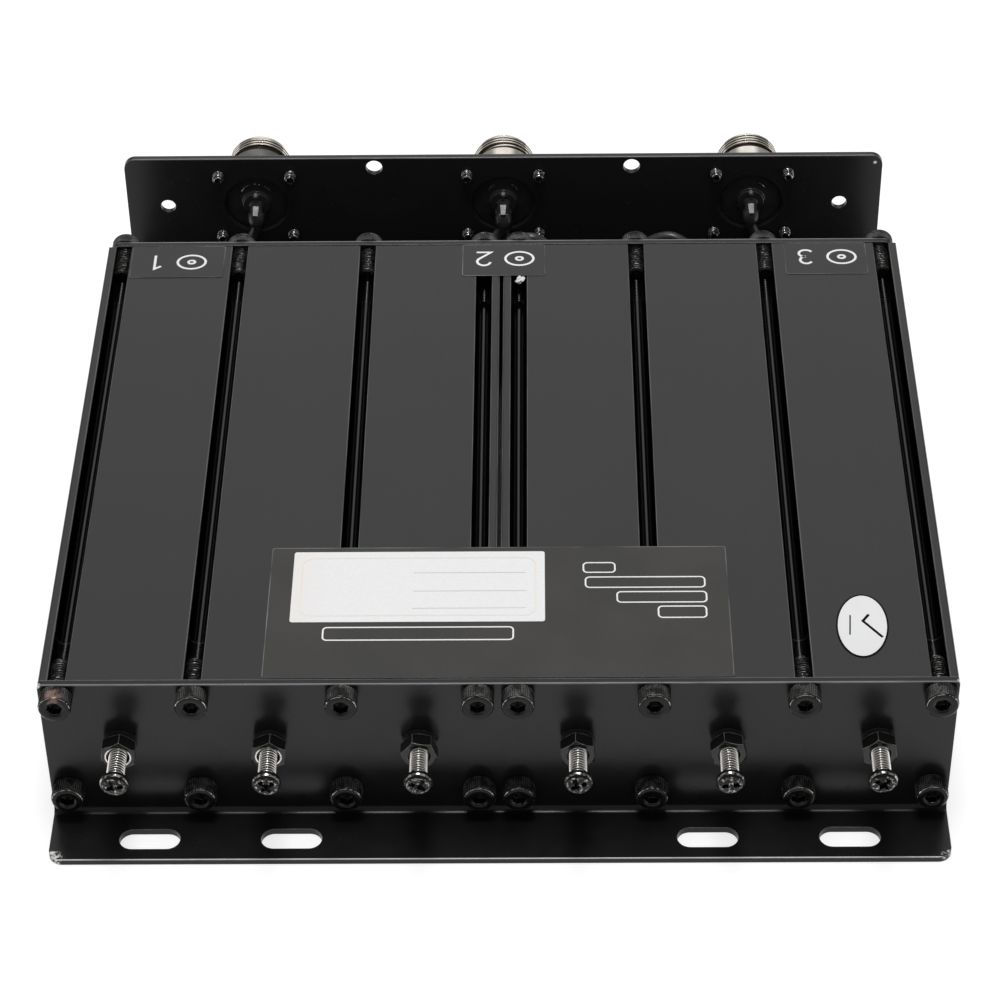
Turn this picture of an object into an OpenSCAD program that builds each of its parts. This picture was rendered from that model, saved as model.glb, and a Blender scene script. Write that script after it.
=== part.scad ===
// Flat six-cavity duplexer: two extruded cavity blocks between folded sheet plates,
// with a screw tuner on each cavity and three threaded ports on the rear panel.
// Sizes are in millimetres. Depths along Y are counted from the front plate's front face,
// and place() then centres the whole object over the origin.

/* [Cavity blocks] */
// Clear width and height of one cavity
cavity_size = 29.2; // [27:0.2:34]
// Clear length of the cavities, between the two plates
cavity_length = 152.2; // [130:0.2:200]
// Wall between two cavities of a block
wall_t = 2; // [1.6:0.1:3]
// Outer skin of a block
skin_t = 2; // [1.6:0.1:3]
// Gap between the two blocks
block_gap = 0.8; // [0.4:0.1:3]
// Height of the blocks above the surface that the plates stand on
block_lift = 5.6; // [4.5:0.1:12]
// Radius of the blocks' long outer edges
block_edge_r = 0.5; // [0.2:0.1:1]
// Bevel of the blocks' upper and lower edges at their ends
block_end_bevel = 0.4; // [0.2:0.1:0.8]

/* [Screw channels] */
// Width of the open channels that take the cap screws
channel_w = 3.8; // [3.5:0.05:3.9]
// Depth of a channel's axis below the block's face
channel_axis = 2.9; // [2.6:0.1:3.4]
// Distance of the outer channels' axes from a block's sides
channel_edge = 3.8; // [3.5:0.1:4.6]
// Metal round a channel
channel_wall = 1.9; // [1.4:0.1:2.4]
// Bevel along a channel's two lips
channel_lip = 0.2; // [0.1:0.05:0.4]
// Length of the tapped stretch at each end of a channel
tapped_len = 16.5; // [12:0.5:30]

/* [Folded sheets] */
// Thickness of the front plate and of the rear bracket
sheet_t = 1.5; // [1.2:0.1:2.5]
// Height of the front plate's upper edge over the blocks
front_rise = 0.4; // [0:0.1:1]
// Inner radius of the sheets' folds
fold_r = 1.5; // [1:0.1:3]
// Reach of the front flange from the front plate's face
flange_reach = 14.4; // [13.5:0.1:30]
// Corner radius of the front flange
flange_corner_r = 3; // [1:0.5:4]
// Corner radius at the top of the front plate
plate_corner_r = 0.8; // [0.4:0.1:2]
// Clear depth between the rear wall and the connector panel
gap_depth = 35.2; // [34:0.2:50]
// Corner radius at the top of the rear bracket
bracket_corner_r = 3; // [1:0.5:4]

/* [Mounting holes] */
// Length of the flange's slots, end to end
slot_len = 13; // [8:0.5:20]
// Width of the flange's slots
slot_w = 5.6; // [4:0.1:7]
// Distance of the slots' row from the front plate's face
slot_row = 8.5; // [7.5:0.1:10]
// Distance of the outer slots' middles from the plate's ends
slot_edge = 21.3; // [14:0.1:26]
// Distance between the middles of an outer and an inner slot
slot_pitch = 30.3; // [22:0.1:40]
// Diameter of the panel's two upper holes
panel_upper_hole_d = 4.2; // [3:0.1:4.6]
// Diameter of the panel's two side holes
panel_side_hole_d = 3.8; // [3:0.1:4.6]
// Distance of the panel's side holes from its ends
panel_hole_edge = 10.3; // [8:0.1:14]
// Height of the panel's side holes above the surface that the plates stand on
panel_hole_z = 24.3; // [20:0.1:27]

/* [Cap screws] */
// Thread diameter of the cap screws
cap_thread_d = 4; // [3.95:0.05:4.1]
// Length of a cap screw under its head
cap_length = 10; // [8:0.5:12]
// Diameter of a cap screw's head
cap_head_d = 7; // [6.4:0.1:7.4]
// Height of a cap screw's head on the front plate
cap_head_h = 4; // [3:0.1:5]
// Height of a cap screw's head on the rear wall
rear_head_h = 3.2; // [2.8:0.1:5]
// Width across flats of a cap screw's socket
cap_socket = 3; // [2.5:0.1:3.5]
// Diameter of the plates' holes for the cap screws
cap_hole_d = 4.4; // [4.3:0.1:4.8]

/* [Tuners] */
// Thread diameter of the tuning screws
tuner_thread_d = 4; // [3.5:0.1:4.5]
// Distance from the front plate's face to the end of a tuning screw's head
tuner_reach = 13.3; // [12.4:0.1:15]
// Diameter of a tuning screw's head
tuner_head_d = 6.2; // [5.6:0.1:7]
// Height of a tuning screw's head
tuner_head_h = 2; // [1.6:0.1:2.6]
// Length of a tuning screw under its head
tuner_length = 30; // [26:1:34]
// How much farther apart the tuners stand than the cavities' middles
tuner_spread = 0.5; // [0:0.1:1]
// How far a block's row of tuners sits outside the block's middle
tuner_shift = 0.2; // [0:0.1:0.5]
// Width across flats of a lock nut
nut_flats = 7; // [6.6:0.1:8]
// Height of a lock nut
nut_h = 3.2; // [2.6:0.1:3.6]
// Diameter of the washer under a lock nut
washer_d = 7; // [6.4:0.1:8]
// Thickness of the washer under a lock nut
washer_t = 1.2; // [0.8:0.1:1.4]
// Diameter of the plunger on a tuning screw's end
plunger_d = 5.6; // [5.4:0.1:6]
// Length of a plunger
plunger_len = 18; // [14:0.5:22]
// Depth to which a plunger takes the screw's end
plunger_grip = 6; // [4:0.5:8]

/* [Resonators] */
// Diameter of a resonator's tube
resonator_d = 9.5; // [9:0.1:12]
// Bore at a resonator's open end
resonator_bore_d = 7.2; // [6.8:0.1:7.6]
// Depth of that bore
resonator_bore_len = 45; // [30:1:60]
// Gap between the front plate and a resonator's open end
resonator_gap = 28; // [24:0.5:32]
// Diameter of a resonator's foot
resonator_foot_d = 14; // [12:0.5:16]
// Thickness of a resonator's foot
resonator_foot_t = 3; // [2:0.5:5]
// Diameter of the head of a resonator's fixing screw
fixing_head_d = 7; // [6:0.1:8]
// Height of that head
fixing_head_h = 2.4; // [1.8:0.1:3]
// Length of a fixing screw under its head
fixing_length = 10; // [8:0.5:14]

/* [Coupling loops] */
// Diameter of a coupling loop's wire
loop_wire_d = 1.2; // [0.8:0.1:1.6]
// Length of a coupling loop along its cavity
loop_len = 32; // [20:1:50]
// Distance between the two legs of a loop
loop_span = 7.2; // [7:0.1:8]
// Depth of the loops below the middle of the cavities
loop_drop = 9.6; // [9.2:0.1:10.4]
// Diameter of a cable
cable_d = 2.6; // [2.4:0.1:2.8]
// Diameter of a ferrule's collar on the rear wall
ferrule_collar_d = 6; // [5.6:0.1:6.6]
// Thickness of that collar
ferrule_collar_t = 1; // [0.8:0.1:1.5]
// Diameter of a ferrule's sleeve
ferrule_sleeve_d = 4.6; // [4:0.1:5]
// Length of a ferrule's sleeve behind the rear wall
ferrule_sleeve_len = 4.5; // [3.5:0.1:5.5]

/* [Ports] */
// Distance of the outer ports' axes from the panel's ends
port_edge = 32.9; // [30:0.1:38]
// Height of the ports' axes above the surface that the plates stand on
port_z = 24.5; // [23.4:0.1:25]
// Reach of a port from the panel's outer face
port_reach = 19; // [15:0.1:22]
// Side of a port's square flange
port_flange = 25.4; // [25:0.1:26]
// Thickness of a port's flange
port_flange_t = 2; // [1.6:0.1:3]
// Distance between the screws of a port's flange
port_screw_pitch = 18.26; // [18:0.02:18.6]
// Outer diameter of a port's thread
port_thread_d = 15.88; // [15.8:0.01:15.95]
// Length of a port's thread
port_thread_len = 5.8; // [4:0.1:8]
// Width of the groove behind the thread
port_groove_w = 0.8; // [0.6:0.1:1.6]
// Depth of the groove behind the thread
port_groove_h = 0.9; // [0.5:0.1:1.2]
// Bore of a port's mouth
port_mouth_d = 8.2; // [8:0.1:8.6]
// Depth of a port's mouth, down to its insulator
port_mouth_len = 9.2; // [8:0.1:10]
// Diameter of a port's insulator
port_insulator_d = 5.2; // [4.6:0.1:5.4]
// Diameter of a port's centre contact
port_contact_d = 3; // [2.6:0.1:3.2]
// Bore in the end of the centre contact
port_contact_bore = 1.7; // [1.6:0.1:1.8]
// How far the contact's tip stays below the port's mouth
port_contact_recess = 5; // [4:0.1:6]
// Diameter of the panel's hole behind a port
port_hole_d = 16.4; // [15:0.1:17]
// Diameter of the short spigot on the back of a port
port_spigot_d = 6.4; // [6:0.1:6.6]
// Length of that spigot
port_spigot_len = 0.9; // [0.6:0.1:1.2]
// Thread diameter of a port's flange screws
port_screw_d = 3; // [2.5:0.1:3]
// Diameter of the head of a port's flange screw
port_screw_head_d = 5.2; // [4.8:0.1:5.8]
// Height of that head
port_screw_head_h = 1.3; // [1.2:0.1:2]
// How far a flange screw stands out of the panel's inner face
port_screw_stand = 2.4; // [1:0.1:4]

/* [Boots] */
// Thickness of a boot's skirt, which fills the panel's hole behind a port
boot_skirt_t = 0.5; // [0.3:0.1:0.8]
// Diameter of a boot's collar
boot_collar_d = 8.4; // [7.6:0.1:9]
// Thickness of skirt and collar together
boot_collar_t = 1.6; // [1.4:0.1:2]
// Diameter of a boot's neck
boot_neck_d = 5.2; // [4.8:0.1:5.6]
// Radius of the neck's bend
boot_bend_r = 2.8; // [2.8:0.1:3.4]
// Distance of the bent part of the neck from the panel's inner face
boot_reach = 3.4; // [3.2:0.1:6]
// Length of the neck below its bend
boot_tail = 0.8; // [0.5:0.1:4]
// Diameter of the neck at its end
boot_tail_d = 4.4; // [4.2:0.1:4.8]

/* [Labels] */
// Thickness of the stickers
sticker_t = 0.1; // [0.05:0.05:0.3]
// Thickness of the nameplate
nameplate_t = 0.25; // [0.15:0.05:0.6]
// Width of the nameplate
nameplate_w = 98.6; // [80:0.2:110]
// Depth of the nameplate
nameplate_l = 40; // [30:0.5:60]
// Distance of the nameplate from the front plate's face
nameplate_y = 2.6; // [2.6:0.1:20]
// Width of the paper label on the nameplate
paper_w = 54.3; // [30:0.1:70]
// Depth of the paper label
paper_l = 22.2; // [15:0.1:28]
// Distance of the paper label's middle from the middle of the nameplate
paper_x = 17.2; // [0:0.1:18]
// Distance of the paper label from the nameplate's rear edge
paper_back = 1.5; // [1:0.1:6]
// Width of the oval sticker
oval_w = 10.8; // [8:0.1:14]
// Length of the oval sticker
oval_l = 19.1; // [15:0.1:24]
// Distance of the oval sticker's middle from the front plate's face
oval_y = 17.4; // [14:0.1:40]
// Depth of the port labels
port_label_l = 12.5; // [8:0.1:16]
// Width of the left port label
label_left_w = 22.6; // [15:0.1:23]
// Width of the middle port label
label_middle_w = 20; // [15:0.1:24]
// Width of the right port label
label_right_w = 19.8; // [15:0.1:23]

/* [Fits] */
// Clearance all round a thread in its tapped hole
thread_fit = 0.04; // [0.02:0.01:0.08]
// Clearance all round a part that is pressed or glued into its seat
seat_fit = 0.02; // [0.01:0.01:0.05]
// Clearance all round a part that passes through a plate
pass_fit = 0.1; // [0.05:0.05:0.2]
// Clearance all round a tuning screw in its washer
washer_fit = 0.3; // [0.3:0.05:0.5]
// Clearance behind the end of a screw in its plunger
end_fit = 0.3; // [0.2:0.1:0.5]

/* [Hidden] */
$fn = 48;
eps = 0.01;

// Main planes
block_w = 3*cavity_size + 2*wall_t + 2*skin_t;
block_h = cavity_size + 2*skin_t;
block_mid_x = block_gap/2 + block_w/2;
plate_w = 2*block_w + block_gap;
plate_h = block_lift + block_h;
front_h = plate_h + front_rise;
axis_z = block_lift + block_h/2;
rear_in = sheet_t + cavity_length;
rear_out = rear_in + sheet_t;
panel_in = rear_out + gap_depth;
panel_out = panel_in + sheet_t;
fold_out_r = fold_r + sheet_t;
slot_xs = [plate_w/2 - slot_edge - slot_pitch, plate_w/2 - slot_edge];
front_end = max(flange_reach, tuner_reach);
y_shift = (front_end - panel_out - port_reach)/2;

// Screw channels, across one block and up and down from its middle
wall_pitch = cavity_size + wall_t;
channel_xs = [-block_w/2 + channel_edge, -wall_pitch/2, wall_pitch/2, block_w/2 - channel_edge];
channel_up = block_h/2 - channel_axis;
channel_boss_r = channel_w/2 + channel_wall;
cap_tapped_r = cap_thread_d/2;
cap_shank_r = cap_tapped_r - thread_fit;

// Tuners
tuner_pitch = wall_pitch + tuner_spread;
tuner_xs = [for (side = [-1, 1], i = [-1:1]) side*(block_mid_x + tuner_shift) + i*tuner_pitch];
tuner_tapped_r = tuner_thread_d/2;
tuner_shank_r = tuner_tapped_r - thread_fit;
nut_turns = [24, 24, 50, 37, 45, 38];
head_turns = [12, 40, 63, 25, 8, 52];
screw_end = tuner_length - tuner_reach + tuner_head_h;
plunger_start = screw_end - plunger_grip;
screw_socket_w = 0.9;
screw_socket_l = 3.4;
screw_socket_h = 1.1;

// Coupling loops and ferrules
loop_z = axis_z - loop_drop;
cable_r = cable_d/2;
ferrule_r = ferrule_sleeve_d/2;

// Ports
port_xs = [-1, 0, 1]*(plate_w/2 - port_edge);
port_r = port_thread_d/2;
port_end = panel_out + port_reach;
port_chamfer = 0.8;
port_screw_r = port_screw_d/2;
insulator_end = port_end - port_mouth_len;
insulator_r = port_insulator_d/2;
spigot_end = panel_out - port_spigot_len;
spigot_r = port_spigot_d/2;
boot_neck_y = panel_in - boot_reach;
boot_neck_end = port_z - boot_bend_r - boot_tail;
cable_grip = 1.6;
pair_step = cable_d + 0.2;

// Cable routes: X, then depth behind the rear wall, then height, drawn for cavities route_pitch apart.
// The ends of each route are worked out from the ferrules and the boots.
route_pitch = 31.2;
route_left_port = [
    [-64, 31.9, 18], [-66.6, 31, 14], [-71.5, 28.5, 11],
    [-77.5, 25, 10.4], [-82, 19.5, 11], [-83.6, 12.5, 12.3]
];
route_1_to_2 = [
    [-76, 12, 13], [-73, 17, 14], [-67.5, 20, 15], [-61, 20, 15], [-55.5, 17, 14], [-52.5, 12, 13]
];
route_2_to_3 = [
    [-44.3, 12, 12.2], [-41.3, 17, 11.4], [-35.5, 20, 11],
    [-29.5, 20, 11], [-23.8, 17, 11.4], [-20.8, 12, 12.2]
];
route_3_to_antenna = [
    [-12.9, 13, 12.2], [-11.8, 20, 11], [-8.6, 25.6, 11], [-5, 28.8, 13.6], [-1.8, 30.3, 18]
];
route_antenna_to_4 = [
    [0.4, 32.6, 16], [1.6, 29.5, 12], [1.2, 24, 14], [0.2, 19, 20.5], [2, 16, 25.8],
    [6.6, 14.8, 28.7], [11, 14.2, 26.6], [13.4, 12.6, 21.5], [13.5, 9.8, 16]
];
route_4_to_5 = [
    [21.3, 12, 12.8], [25.5, 17.5, 14.3], [31.5, 20, 18], [36.5, 20.5, 22.8],
    [42.3, 20, 24.9], [47.2, 18, 22.4], [48.3, 14, 17.4], [46.4, 10, 13.8]
];
route_5_to_6 = [
    [52.5, 12, 13], [55.5, 17, 14], [61, 20, 15], [67.5, 20, 15], [73, 17, 14], [76, 12, 13]
];
route_right_port = [
    [64, 31.9, 18], [66.6, 31, 14], [71.5, 28.5, 11], [77.5, 25, 10.4], [82, 19.5, 11], [83.6, 12.5, 12.3]
];

// Colours
block_colour = [0.27, 0.27, 0.27];
sheet_colour = [0.10, 0.10, 0.11];
steel_black = [0.07, 0.07, 0.07];
bright = [0.80, 0.80, 0.78];
brass = [0.78, 0.62, 0.32];
copper = [0.75, 0.45, 0.30];
cable_black = [0.05, 0.05, 0.05];
white_plastic = [0.93, 0.93, 0.90];

// Helpers

module place() {
    translate([0, y_shift, 0]) children();
}

// A round bar along Y, from depth y0 to depth y1
module bar_y(y0, y1, r, sides = 0) {
    translate([0, y0, 0]) rotate([-90, 0, 0]) cylinder(h = y1 - y0, r = r, $fn = sides > 0 ? sides : $fn);
}

// A bar along Y whose radius changes from r0 to r1
module cone_y(y0, y1, r0, r1) {
    translate([0, y0, 0]) rotate([-90, 0, 0]) cylinder(h = y1 - y0, r1 = r0, r2 = r1);
}

// Extrudes a profile drawn as X and height, from depth y0 to depth y1
module slab_y(y0, y1) {
    translate([0, y1, 0]) rotate([90, 0, 0]) linear_extrude(y1 - y0) children();
}

// A rectangle about the origin with round corners
module round_rect(w, h, r) {
    square([w - 2*r, h], center = true);
    square([w, h - 2*r], center = true);
    for (x = [-1, 1], y = [-1, 1])
        translate([x*(w/2 - r), y*(h/2 - r)]) circle(r);
}

// What is cut away to round the corner at the origin, of a sheet that lies towards -X and -Y
module corner_cut(r) {
    difference() {
        translate([-r, -r]) square(r + 1);
        translate([-r, -r]) circle(r);
    }
}

// Puts its children at every cap screw's axis
module at_cap_screws() {
    for (side = [-1, 1], x = channel_xs, up = [-1, 1])
        translate([side*block_mid_x + x, 0, axis_z + up*channel_up]) children();
}

// Puts its children at every tuner's axis
module at_tuners() {
    for (x = tuner_xs)
        translate([x, 0, axis_z]) children();
}

// Puts its children at both ferrules of every cavity
module at_ferrules() {
    for (x = tuner_xs, side = [-1, 1])
        translate([x + side*loop_span/2, 0, loop_z]) children();
}

// Puts its children at the four screws of every port
module at_port_screws() {
    for (x = port_xs, sx = [-1, 1], sz = [-1, 1])
        translate([x + sx*port_screw_pitch/2, 0, port_z + sz*port_screw_pitch/2]) children();
}

// Cavity blocks

module cavity_hole(middle) {
    difference() {
        translate([middle, 0]) square(cavity_size, center = true);
        for (x = channel_xs, up = [-1, 1])
            translate([x, up*channel_up]) circle(channel_boss_r);
    }
}

// What is cut away to bevel both lips of a channel, drawn about the middle of its mouth
module lip_bevel() {
    half = channel_w/2;
    polygon([
        [-half - channel_lip, 0], [-half, -channel_lip], [half, -channel_lip],
        [half + channel_lip, 0], [half, channel_lip], [-half, channel_lip]
    ]);
}

module block_profile() {
    difference() {
        round_rect(block_w, block_h, block_edge_r);
        for (i = [-1:1])
            cavity_hole(i*wall_pitch);
        for (x = channel_xs, up = [-1, 1]) {
            translate([x, up*channel_up]) circle(channel_w/2);
            translate([x, up*(channel_up + channel_axis)]) square([channel_w, 2*channel_axis], center = true);
            translate([x, up*block_h/2]) lip_bevel();
        }
    }
}

// What is cut away to bevel the upper edge at one end of a block
module end_bevel() {
    translate([0, 0, block_h/2]) rotate([45, 0, 0])
        cube([block_w + 2, block_end_bevel*sqrt(2), block_end_bevel*sqrt(2)], center = true);
}

module cavity_block(side) {
    color(block_colour) place() translate([side*block_mid_x, 0, axis_z]) difference() {
        slab_y(sheet_t, rear_in) block_profile();
        for (y = [sheet_t, rear_in], up = [0, 1])
            translate([0, y, 0]) mirror([0, 0, up]) end_bevel();
        for (x = channel_xs, up = [-1, 1]) translate([x, 0, up*channel_up]) {
            bar_y(sheet_t - eps, sheet_t + tapped_len, cap_tapped_r);
            bar_y(rear_in - tapped_len, rear_in + eps, cap_tapped_r);
        }
    }
}

module cavity_block_left() { cavity_block(-1); }
module cavity_block_right() { cavity_block(1); }

// Folded sheets, drawn in profile as depth and height

// A quarter fold about the origin, in the quadrant given by the two signs
module fold_profile(sy, sz) {
    intersection() {
        difference() {
            circle(fold_out_r);
            circle(fold_r);
        }
        translate([sy > 0 ? 0 : -fold_out_r - 1, sz > 0 ? 0 : -fold_out_r - 1]) square(fold_out_r + 1);
    }
}

module front_plate_profile() {
    translate([-fold_r, fold_out_r]) fold_profile(1, -1);
    translate([0, fold_out_r]) square([sheet_t, front_h - fold_out_r]);
    translate([-flange_reach, 0]) square([flange_reach - fold_r, sheet_t]);
}

module rear_bracket_profile() {
    translate([rear_in, fold_out_r]) square([sheet_t, plate_h - fold_out_r]);
    translate([rear_out + fold_r, fold_out_r]) fold_profile(-1, -1);
    translate([rear_out + fold_r, 0]) square([gap_depth - 2*fold_r, sheet_t]);
    translate([panel_in - fold_r, fold_out_r]) fold_profile(1, -1);
    translate([panel_in, fold_out_r]) square([sheet_t, plate_h - fold_out_r]);
}

// Extrudes a profile drawn as depth and height across the full width
module across() {
    rotate([90, 0, 90]) translate([0, 0, -plate_w/2]) linear_extrude(plate_w) children();
}

// Rounds the two top corners, at height h, of a plate between depths y0 and y1
module top_corner_cuts(y0, y1, h, r) {
    for (side = [0, 1]) mirror([side, 0, 0])
        translate([plate_w/2, 0, h]) slab_y(y0, y1) corner_cut(r);
}

module flange_slots() {
    for (side = [-1, 1], x = slot_xs) translate([side*x, -slot_row, -1]) {
        translate([0, 0, (sheet_t + 2)/2]) cube([slot_len - slot_w, slot_w, sheet_t + 2], center = true);
        for (end = [-1, 1])
            translate([end*(slot_len - slot_w)/2, 0, 0]) cylinder(h = sheet_t + 2, r = slot_w/2);
    }
}

module front_plate() {
    color(sheet_colour) place() difference() {
        across() front_plate_profile();
        top_corner_cuts(-1, sheet_t + 1, front_h, plate_corner_r);
        for (side = [0, 1]) mirror([side, 0, 0]) translate([plate_w/2, -flange_reach, -1])
            mirror([0, 1, 0]) linear_extrude(sheet_t + 2) corner_cut(flange_corner_r);
        flange_slots();
        at_cap_screws() bar_y(-1, sheet_t + 1, cap_hole_d/2);
        at_tuners() bar_y(-1, sheet_t + 1, tuner_tapped_r);
    }
}

module panel_holes() {
    for (side = [-1, 1]) {
        translate([side*(plate_w/2 - panel_hole_edge), 0, panel_hole_z])
            bar_y(panel_in - 1, panel_out + 1, panel_side_hole_d/2);
        translate([side*(block_mid_x - wall_pitch/2), 0, axis_z + channel_up])
            bar_y(panel_in - 1, panel_out + 1, panel_upper_hole_d/2);
    }
}

module rear_bracket() {
    color(sheet_colour) place() difference() {
        across() rear_bracket_profile();
        top_corner_cuts(rear_in - 1, panel_out + 1, plate_h, bracket_corner_r);
        at_cap_screws() bar_y(rear_in - 1, rear_out + 1, cap_hole_d/2);
        at_tuners() bar_y(rear_in - 1, rear_out + 1, cap_hole_d/2);
        at_ferrules() bar_y(rear_in - 1, rear_out + 1, ferrule_r + pass_fit);
        panel_holes();
        for (x = port_xs)
            translate([x, 0, port_z]) bar_y(panel_in - 1, panel_out + 1, port_hole_d/2);
        at_port_screws() bar_y(panel_in - 1, panel_out + 1, port_screw_r);
    }
}

// Screws, drawn with the underside of the head at depth 0 and the shank towards +Y

module cap_screw(head_h) {
    chamfer = 0.4;
    difference() {
        union() {
            bar_y(-head_h + chamfer, 0, cap_head_d/2);
            cone_y(-head_h, -head_h + chamfer, cap_head_d/2 - chamfer, cap_head_d/2);
            bar_y(-eps, cap_length, cap_shank_r);
        }
        bar_y(-head_h - 1, -head_h/2, cap_socket/sqrt(3), 6);
    }
}

module front_cap_screws() {
    color(steel_black) place() at_cap_screws() cap_screw(cap_head_h);
}

module rear_cap_screws() {
    color(steel_black) place() translate([0, rear_out, 0]) mirror([0, 1, 0])
        at_cap_screws() cap_screw(rear_head_h);
}

// Tuners

module lock_nuts() {
    countersink = 0.5;
    chamfer = 0.35;
    nut_r = nut_flats/sqrt(3);
    face_r = nut_flats/2 - 0.1;
    nut_front = -washer_t - nut_h;
    color(steel_black) place() for (i = [0:5]) translate([tuner_xs[i], 0, axis_z]) difference() {
        intersection() {
            rotate([0, -nut_turns[i], 0]) bar_y(nut_front, -washer_t, nut_r, 6);
            union() {
                cone_y(nut_front, nut_front + chamfer, face_r, nut_r + 0.1);
                bar_y(nut_front + chamfer - eps, -washer_t - chamfer + eps, nut_r + 0.1);
                cone_y(-washer_t - chamfer, -washer_t, nut_r + 0.1, face_r);
            }
        }
        bar_y(nut_front - 1, 0, tuner_tapped_r);
        cone_y(nut_front, nut_front + countersink, tuner_tapped_r + countersink, tuner_tapped_r);
    }
}

module tuner_washers() {
    color(steel_black) place() at_tuners() difference() {
        bar_y(-washer_t, 0, washer_d/2);
        bar_y(-washer_t - 1, 1, tuner_shank_r + washer_fit);
    }
}

module cross_socket() {
    for (turn = [0, 90]) rotate([0, turn, 0])
        translate([0, screw_socket_h/2 - eps, 0])
            cube([screw_socket_l, screw_socket_h, screw_socket_w], center = true);
}

module tuning_screw(i) {
    crown = 0.6;
    head_r = tuner_head_d/2;
    color(bright) place() translate([tuner_xs[i], 0, axis_z]) difference() {
        union() {
            translate([0, -tuner_reach, 0]) rotate([-90, 0, 0]) rotate_extrude() {
                square([head_r - crown, tuner_head_h]);
                translate([0, crown]) square([head_r, tuner_head_h - crown]);
                translate([head_r - crown, crown]) circle(crown);
            }
            bar_y(-tuner_reach + tuner_head_h - eps, screw_end, tuner_shank_r);
        }
        translate([0, -tuner_reach, 0]) rotate([0, head_turns[i], 0]) cross_socket();
    }
}

module tuning_plunger(i) {
    color(brass) place() translate([tuner_xs[i], 0, axis_z]) difference() {
        bar_y(plunger_start, plunger_start + plunger_len, plunger_d/2);
        bar_y(plunger_start - 1, screw_end + end_fit, tuner_tapped_r);
    }
}

module tuning_screw_1() { tuning_screw(0); }
module tuning_screw_2() { tuning_screw(1); }
module tuning_screw_3() { tuning_screw(2); }
module tuning_screw_4() { tuning_screw(3); }
module tuning_screw_5() { tuning_screw(4); }
module tuning_screw_6() { tuning_screw(5); }
module tuning_plunger_1() { tuning_plunger(0); }
module tuning_plunger_2() { tuning_plunger(1); }
module tuning_plunger_3() { tuning_plunger(2); }
module tuning_plunger_4() { tuning_plunger(3); }
module tuning_plunger_5() { tuning_plunger(4); }
module tuning_plunger_6() { tuning_plunger(5); }

// Resonators and their fixing screws

module resonator(i) {
    open_end = sheet_t + resonator_gap;
    color(copper) place() translate([tuner_xs[i], 0, axis_z]) difference() {
        union() {
            bar_y(open_end, rear_in, resonator_d/2);
            bar_y(rear_in - resonator_foot_t, rear_in, resonator_foot_d/2);
        }
        bar_y(open_end - 1, open_end + resonator_bore_len, resonator_bore_d/2);
        bar_y(rear_out - fixing_length - 1, rear_in + 1, cap_tapped_r);
    }
}

module resonator_1() { resonator(0); }
module resonator_2() { resonator(1); }
module resonator_3() { resonator(2); }
module resonator_4() { resonator(3); }
module resonator_5() { resonator(4); }
module resonator_6() { resonator(5); }

module resonator_screws() {
    color(steel_black) place() translate([0, rear_out, 0]) at_tuners() difference() {
        union() {
            cone_y(0, fixing_head_h, fixing_head_d/2, fixing_head_d/2 - 0.6);
            bar_y(-fixing_length, eps, cap_shank_r);
        }
        translate([0, fixing_head_h, 0]) mirror([0, 1, 0]) cross_socket();
    }
}

// Coupling loops, ferrules and cables

module coupling_loop(i) {
    bend_y = rear_in - loop_len + loop_span/2;
    color(copper) place() translate([tuner_xs[i], 0, loop_z]) {
        for (side = [-1, 1])
            translate([side*loop_span/2, 0, 0]) bar_y(bend_y, rear_in, loop_wire_d/2);
        translate([0, bend_y, 0]) rotate([0, 0, 180]) rotate_extrude(angle = 180)
            translate([loop_span/2, 0]) circle(loop_wire_d/2);
    }
}

module coupling_loop_1() { coupling_loop(0); }
module coupling_loop_2() { coupling_loop(1); }
module coupling_loop_3() { coupling_loop(2); }
module coupling_loop_4() { coupling_loop(3); }
module coupling_loop_5() { coupling_loop(4); }
module coupling_loop_6() { coupling_loop(5); }

module cable_ferrules() {
    color(brass) place() at_ferrules() difference() {
        union() {
            bar_y(rear_in, rear_out + ferrule_sleeve_len, ferrule_r);
            bar_y(rear_out, rear_out + ferrule_collar_t, ferrule_collar_d/2);
        }
        bar_y(rear_in - 1, rear_out + ferrule_sleeve_len + 1, cable_r + seat_fit);
    }
}

function unit(v) = v/norm(v);

// The direction of a route at point i
function heading(pts, i) = unit(pts[min(i + 1, len(pts) - 1)] - pts[max(i - 1, 0)]);

// Carries the side direction s along to a new heading t
function carried(s, t) = unit(s - (s*t)*t);

function sides_along(pts, i = 1, acc = [[1, 0, 0]]) =
    i >= len(pts) ? acc : sides_along(pts, i + 1, concat(acc, [carried(acc[i - 1], heading(pts, i))]));

// A tube of radius r along the points
module tube(pts, r, n = 8) {
    sides = sides_along(pts);
    rings = [
        for (i = [0:len(pts) - 1])
            let (t = heading(pts, i), a = carried(sides[i], t), b = cross(t, a))
            for (k = [0:n - 1]) pts[i] + r*(cos(360*k/n)*a + sin(360*k/n)*b)
    ];
    last = (len(pts) - 1)*n;
    walls = [
        for (i = [0:len(pts) - 2], k = [0:n - 1])
            [i*n + k, i*n + (k + 1)%n, (i + 1)*n + (k + 1)%n, (i + 1)*n + k]
    ];
    caps = [[for (k = [0:n - 1]) n - 1 - k], [for (k = [0:n - 1]) last + k]];
    polyhedron(points = rings, faces = concat(walls, caps));
}

// A ferrule's stretch of route: cavity i, and the side of its axis
function in_ferrule(i, side) = [tuner_xs[i] + side*loop_span/2, rear_in, loop_z];
function past_ferrule(i, side) = in_ferrule(i, side) + [0, sheet_t + ferrule_sleeve_len + 1.5, 0];
function behind(pts) = [for (p = pts) [p[0]*wall_pitch/route_pitch, rear_out + p[1], p[2]]];

// A boot's stretch of route: port i, and how far the cable lies behind the neck's middle
function in_boot(i, back) = [port_xs[i], boot_neck_y + back, boot_neck_end + cable_grip];

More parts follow.
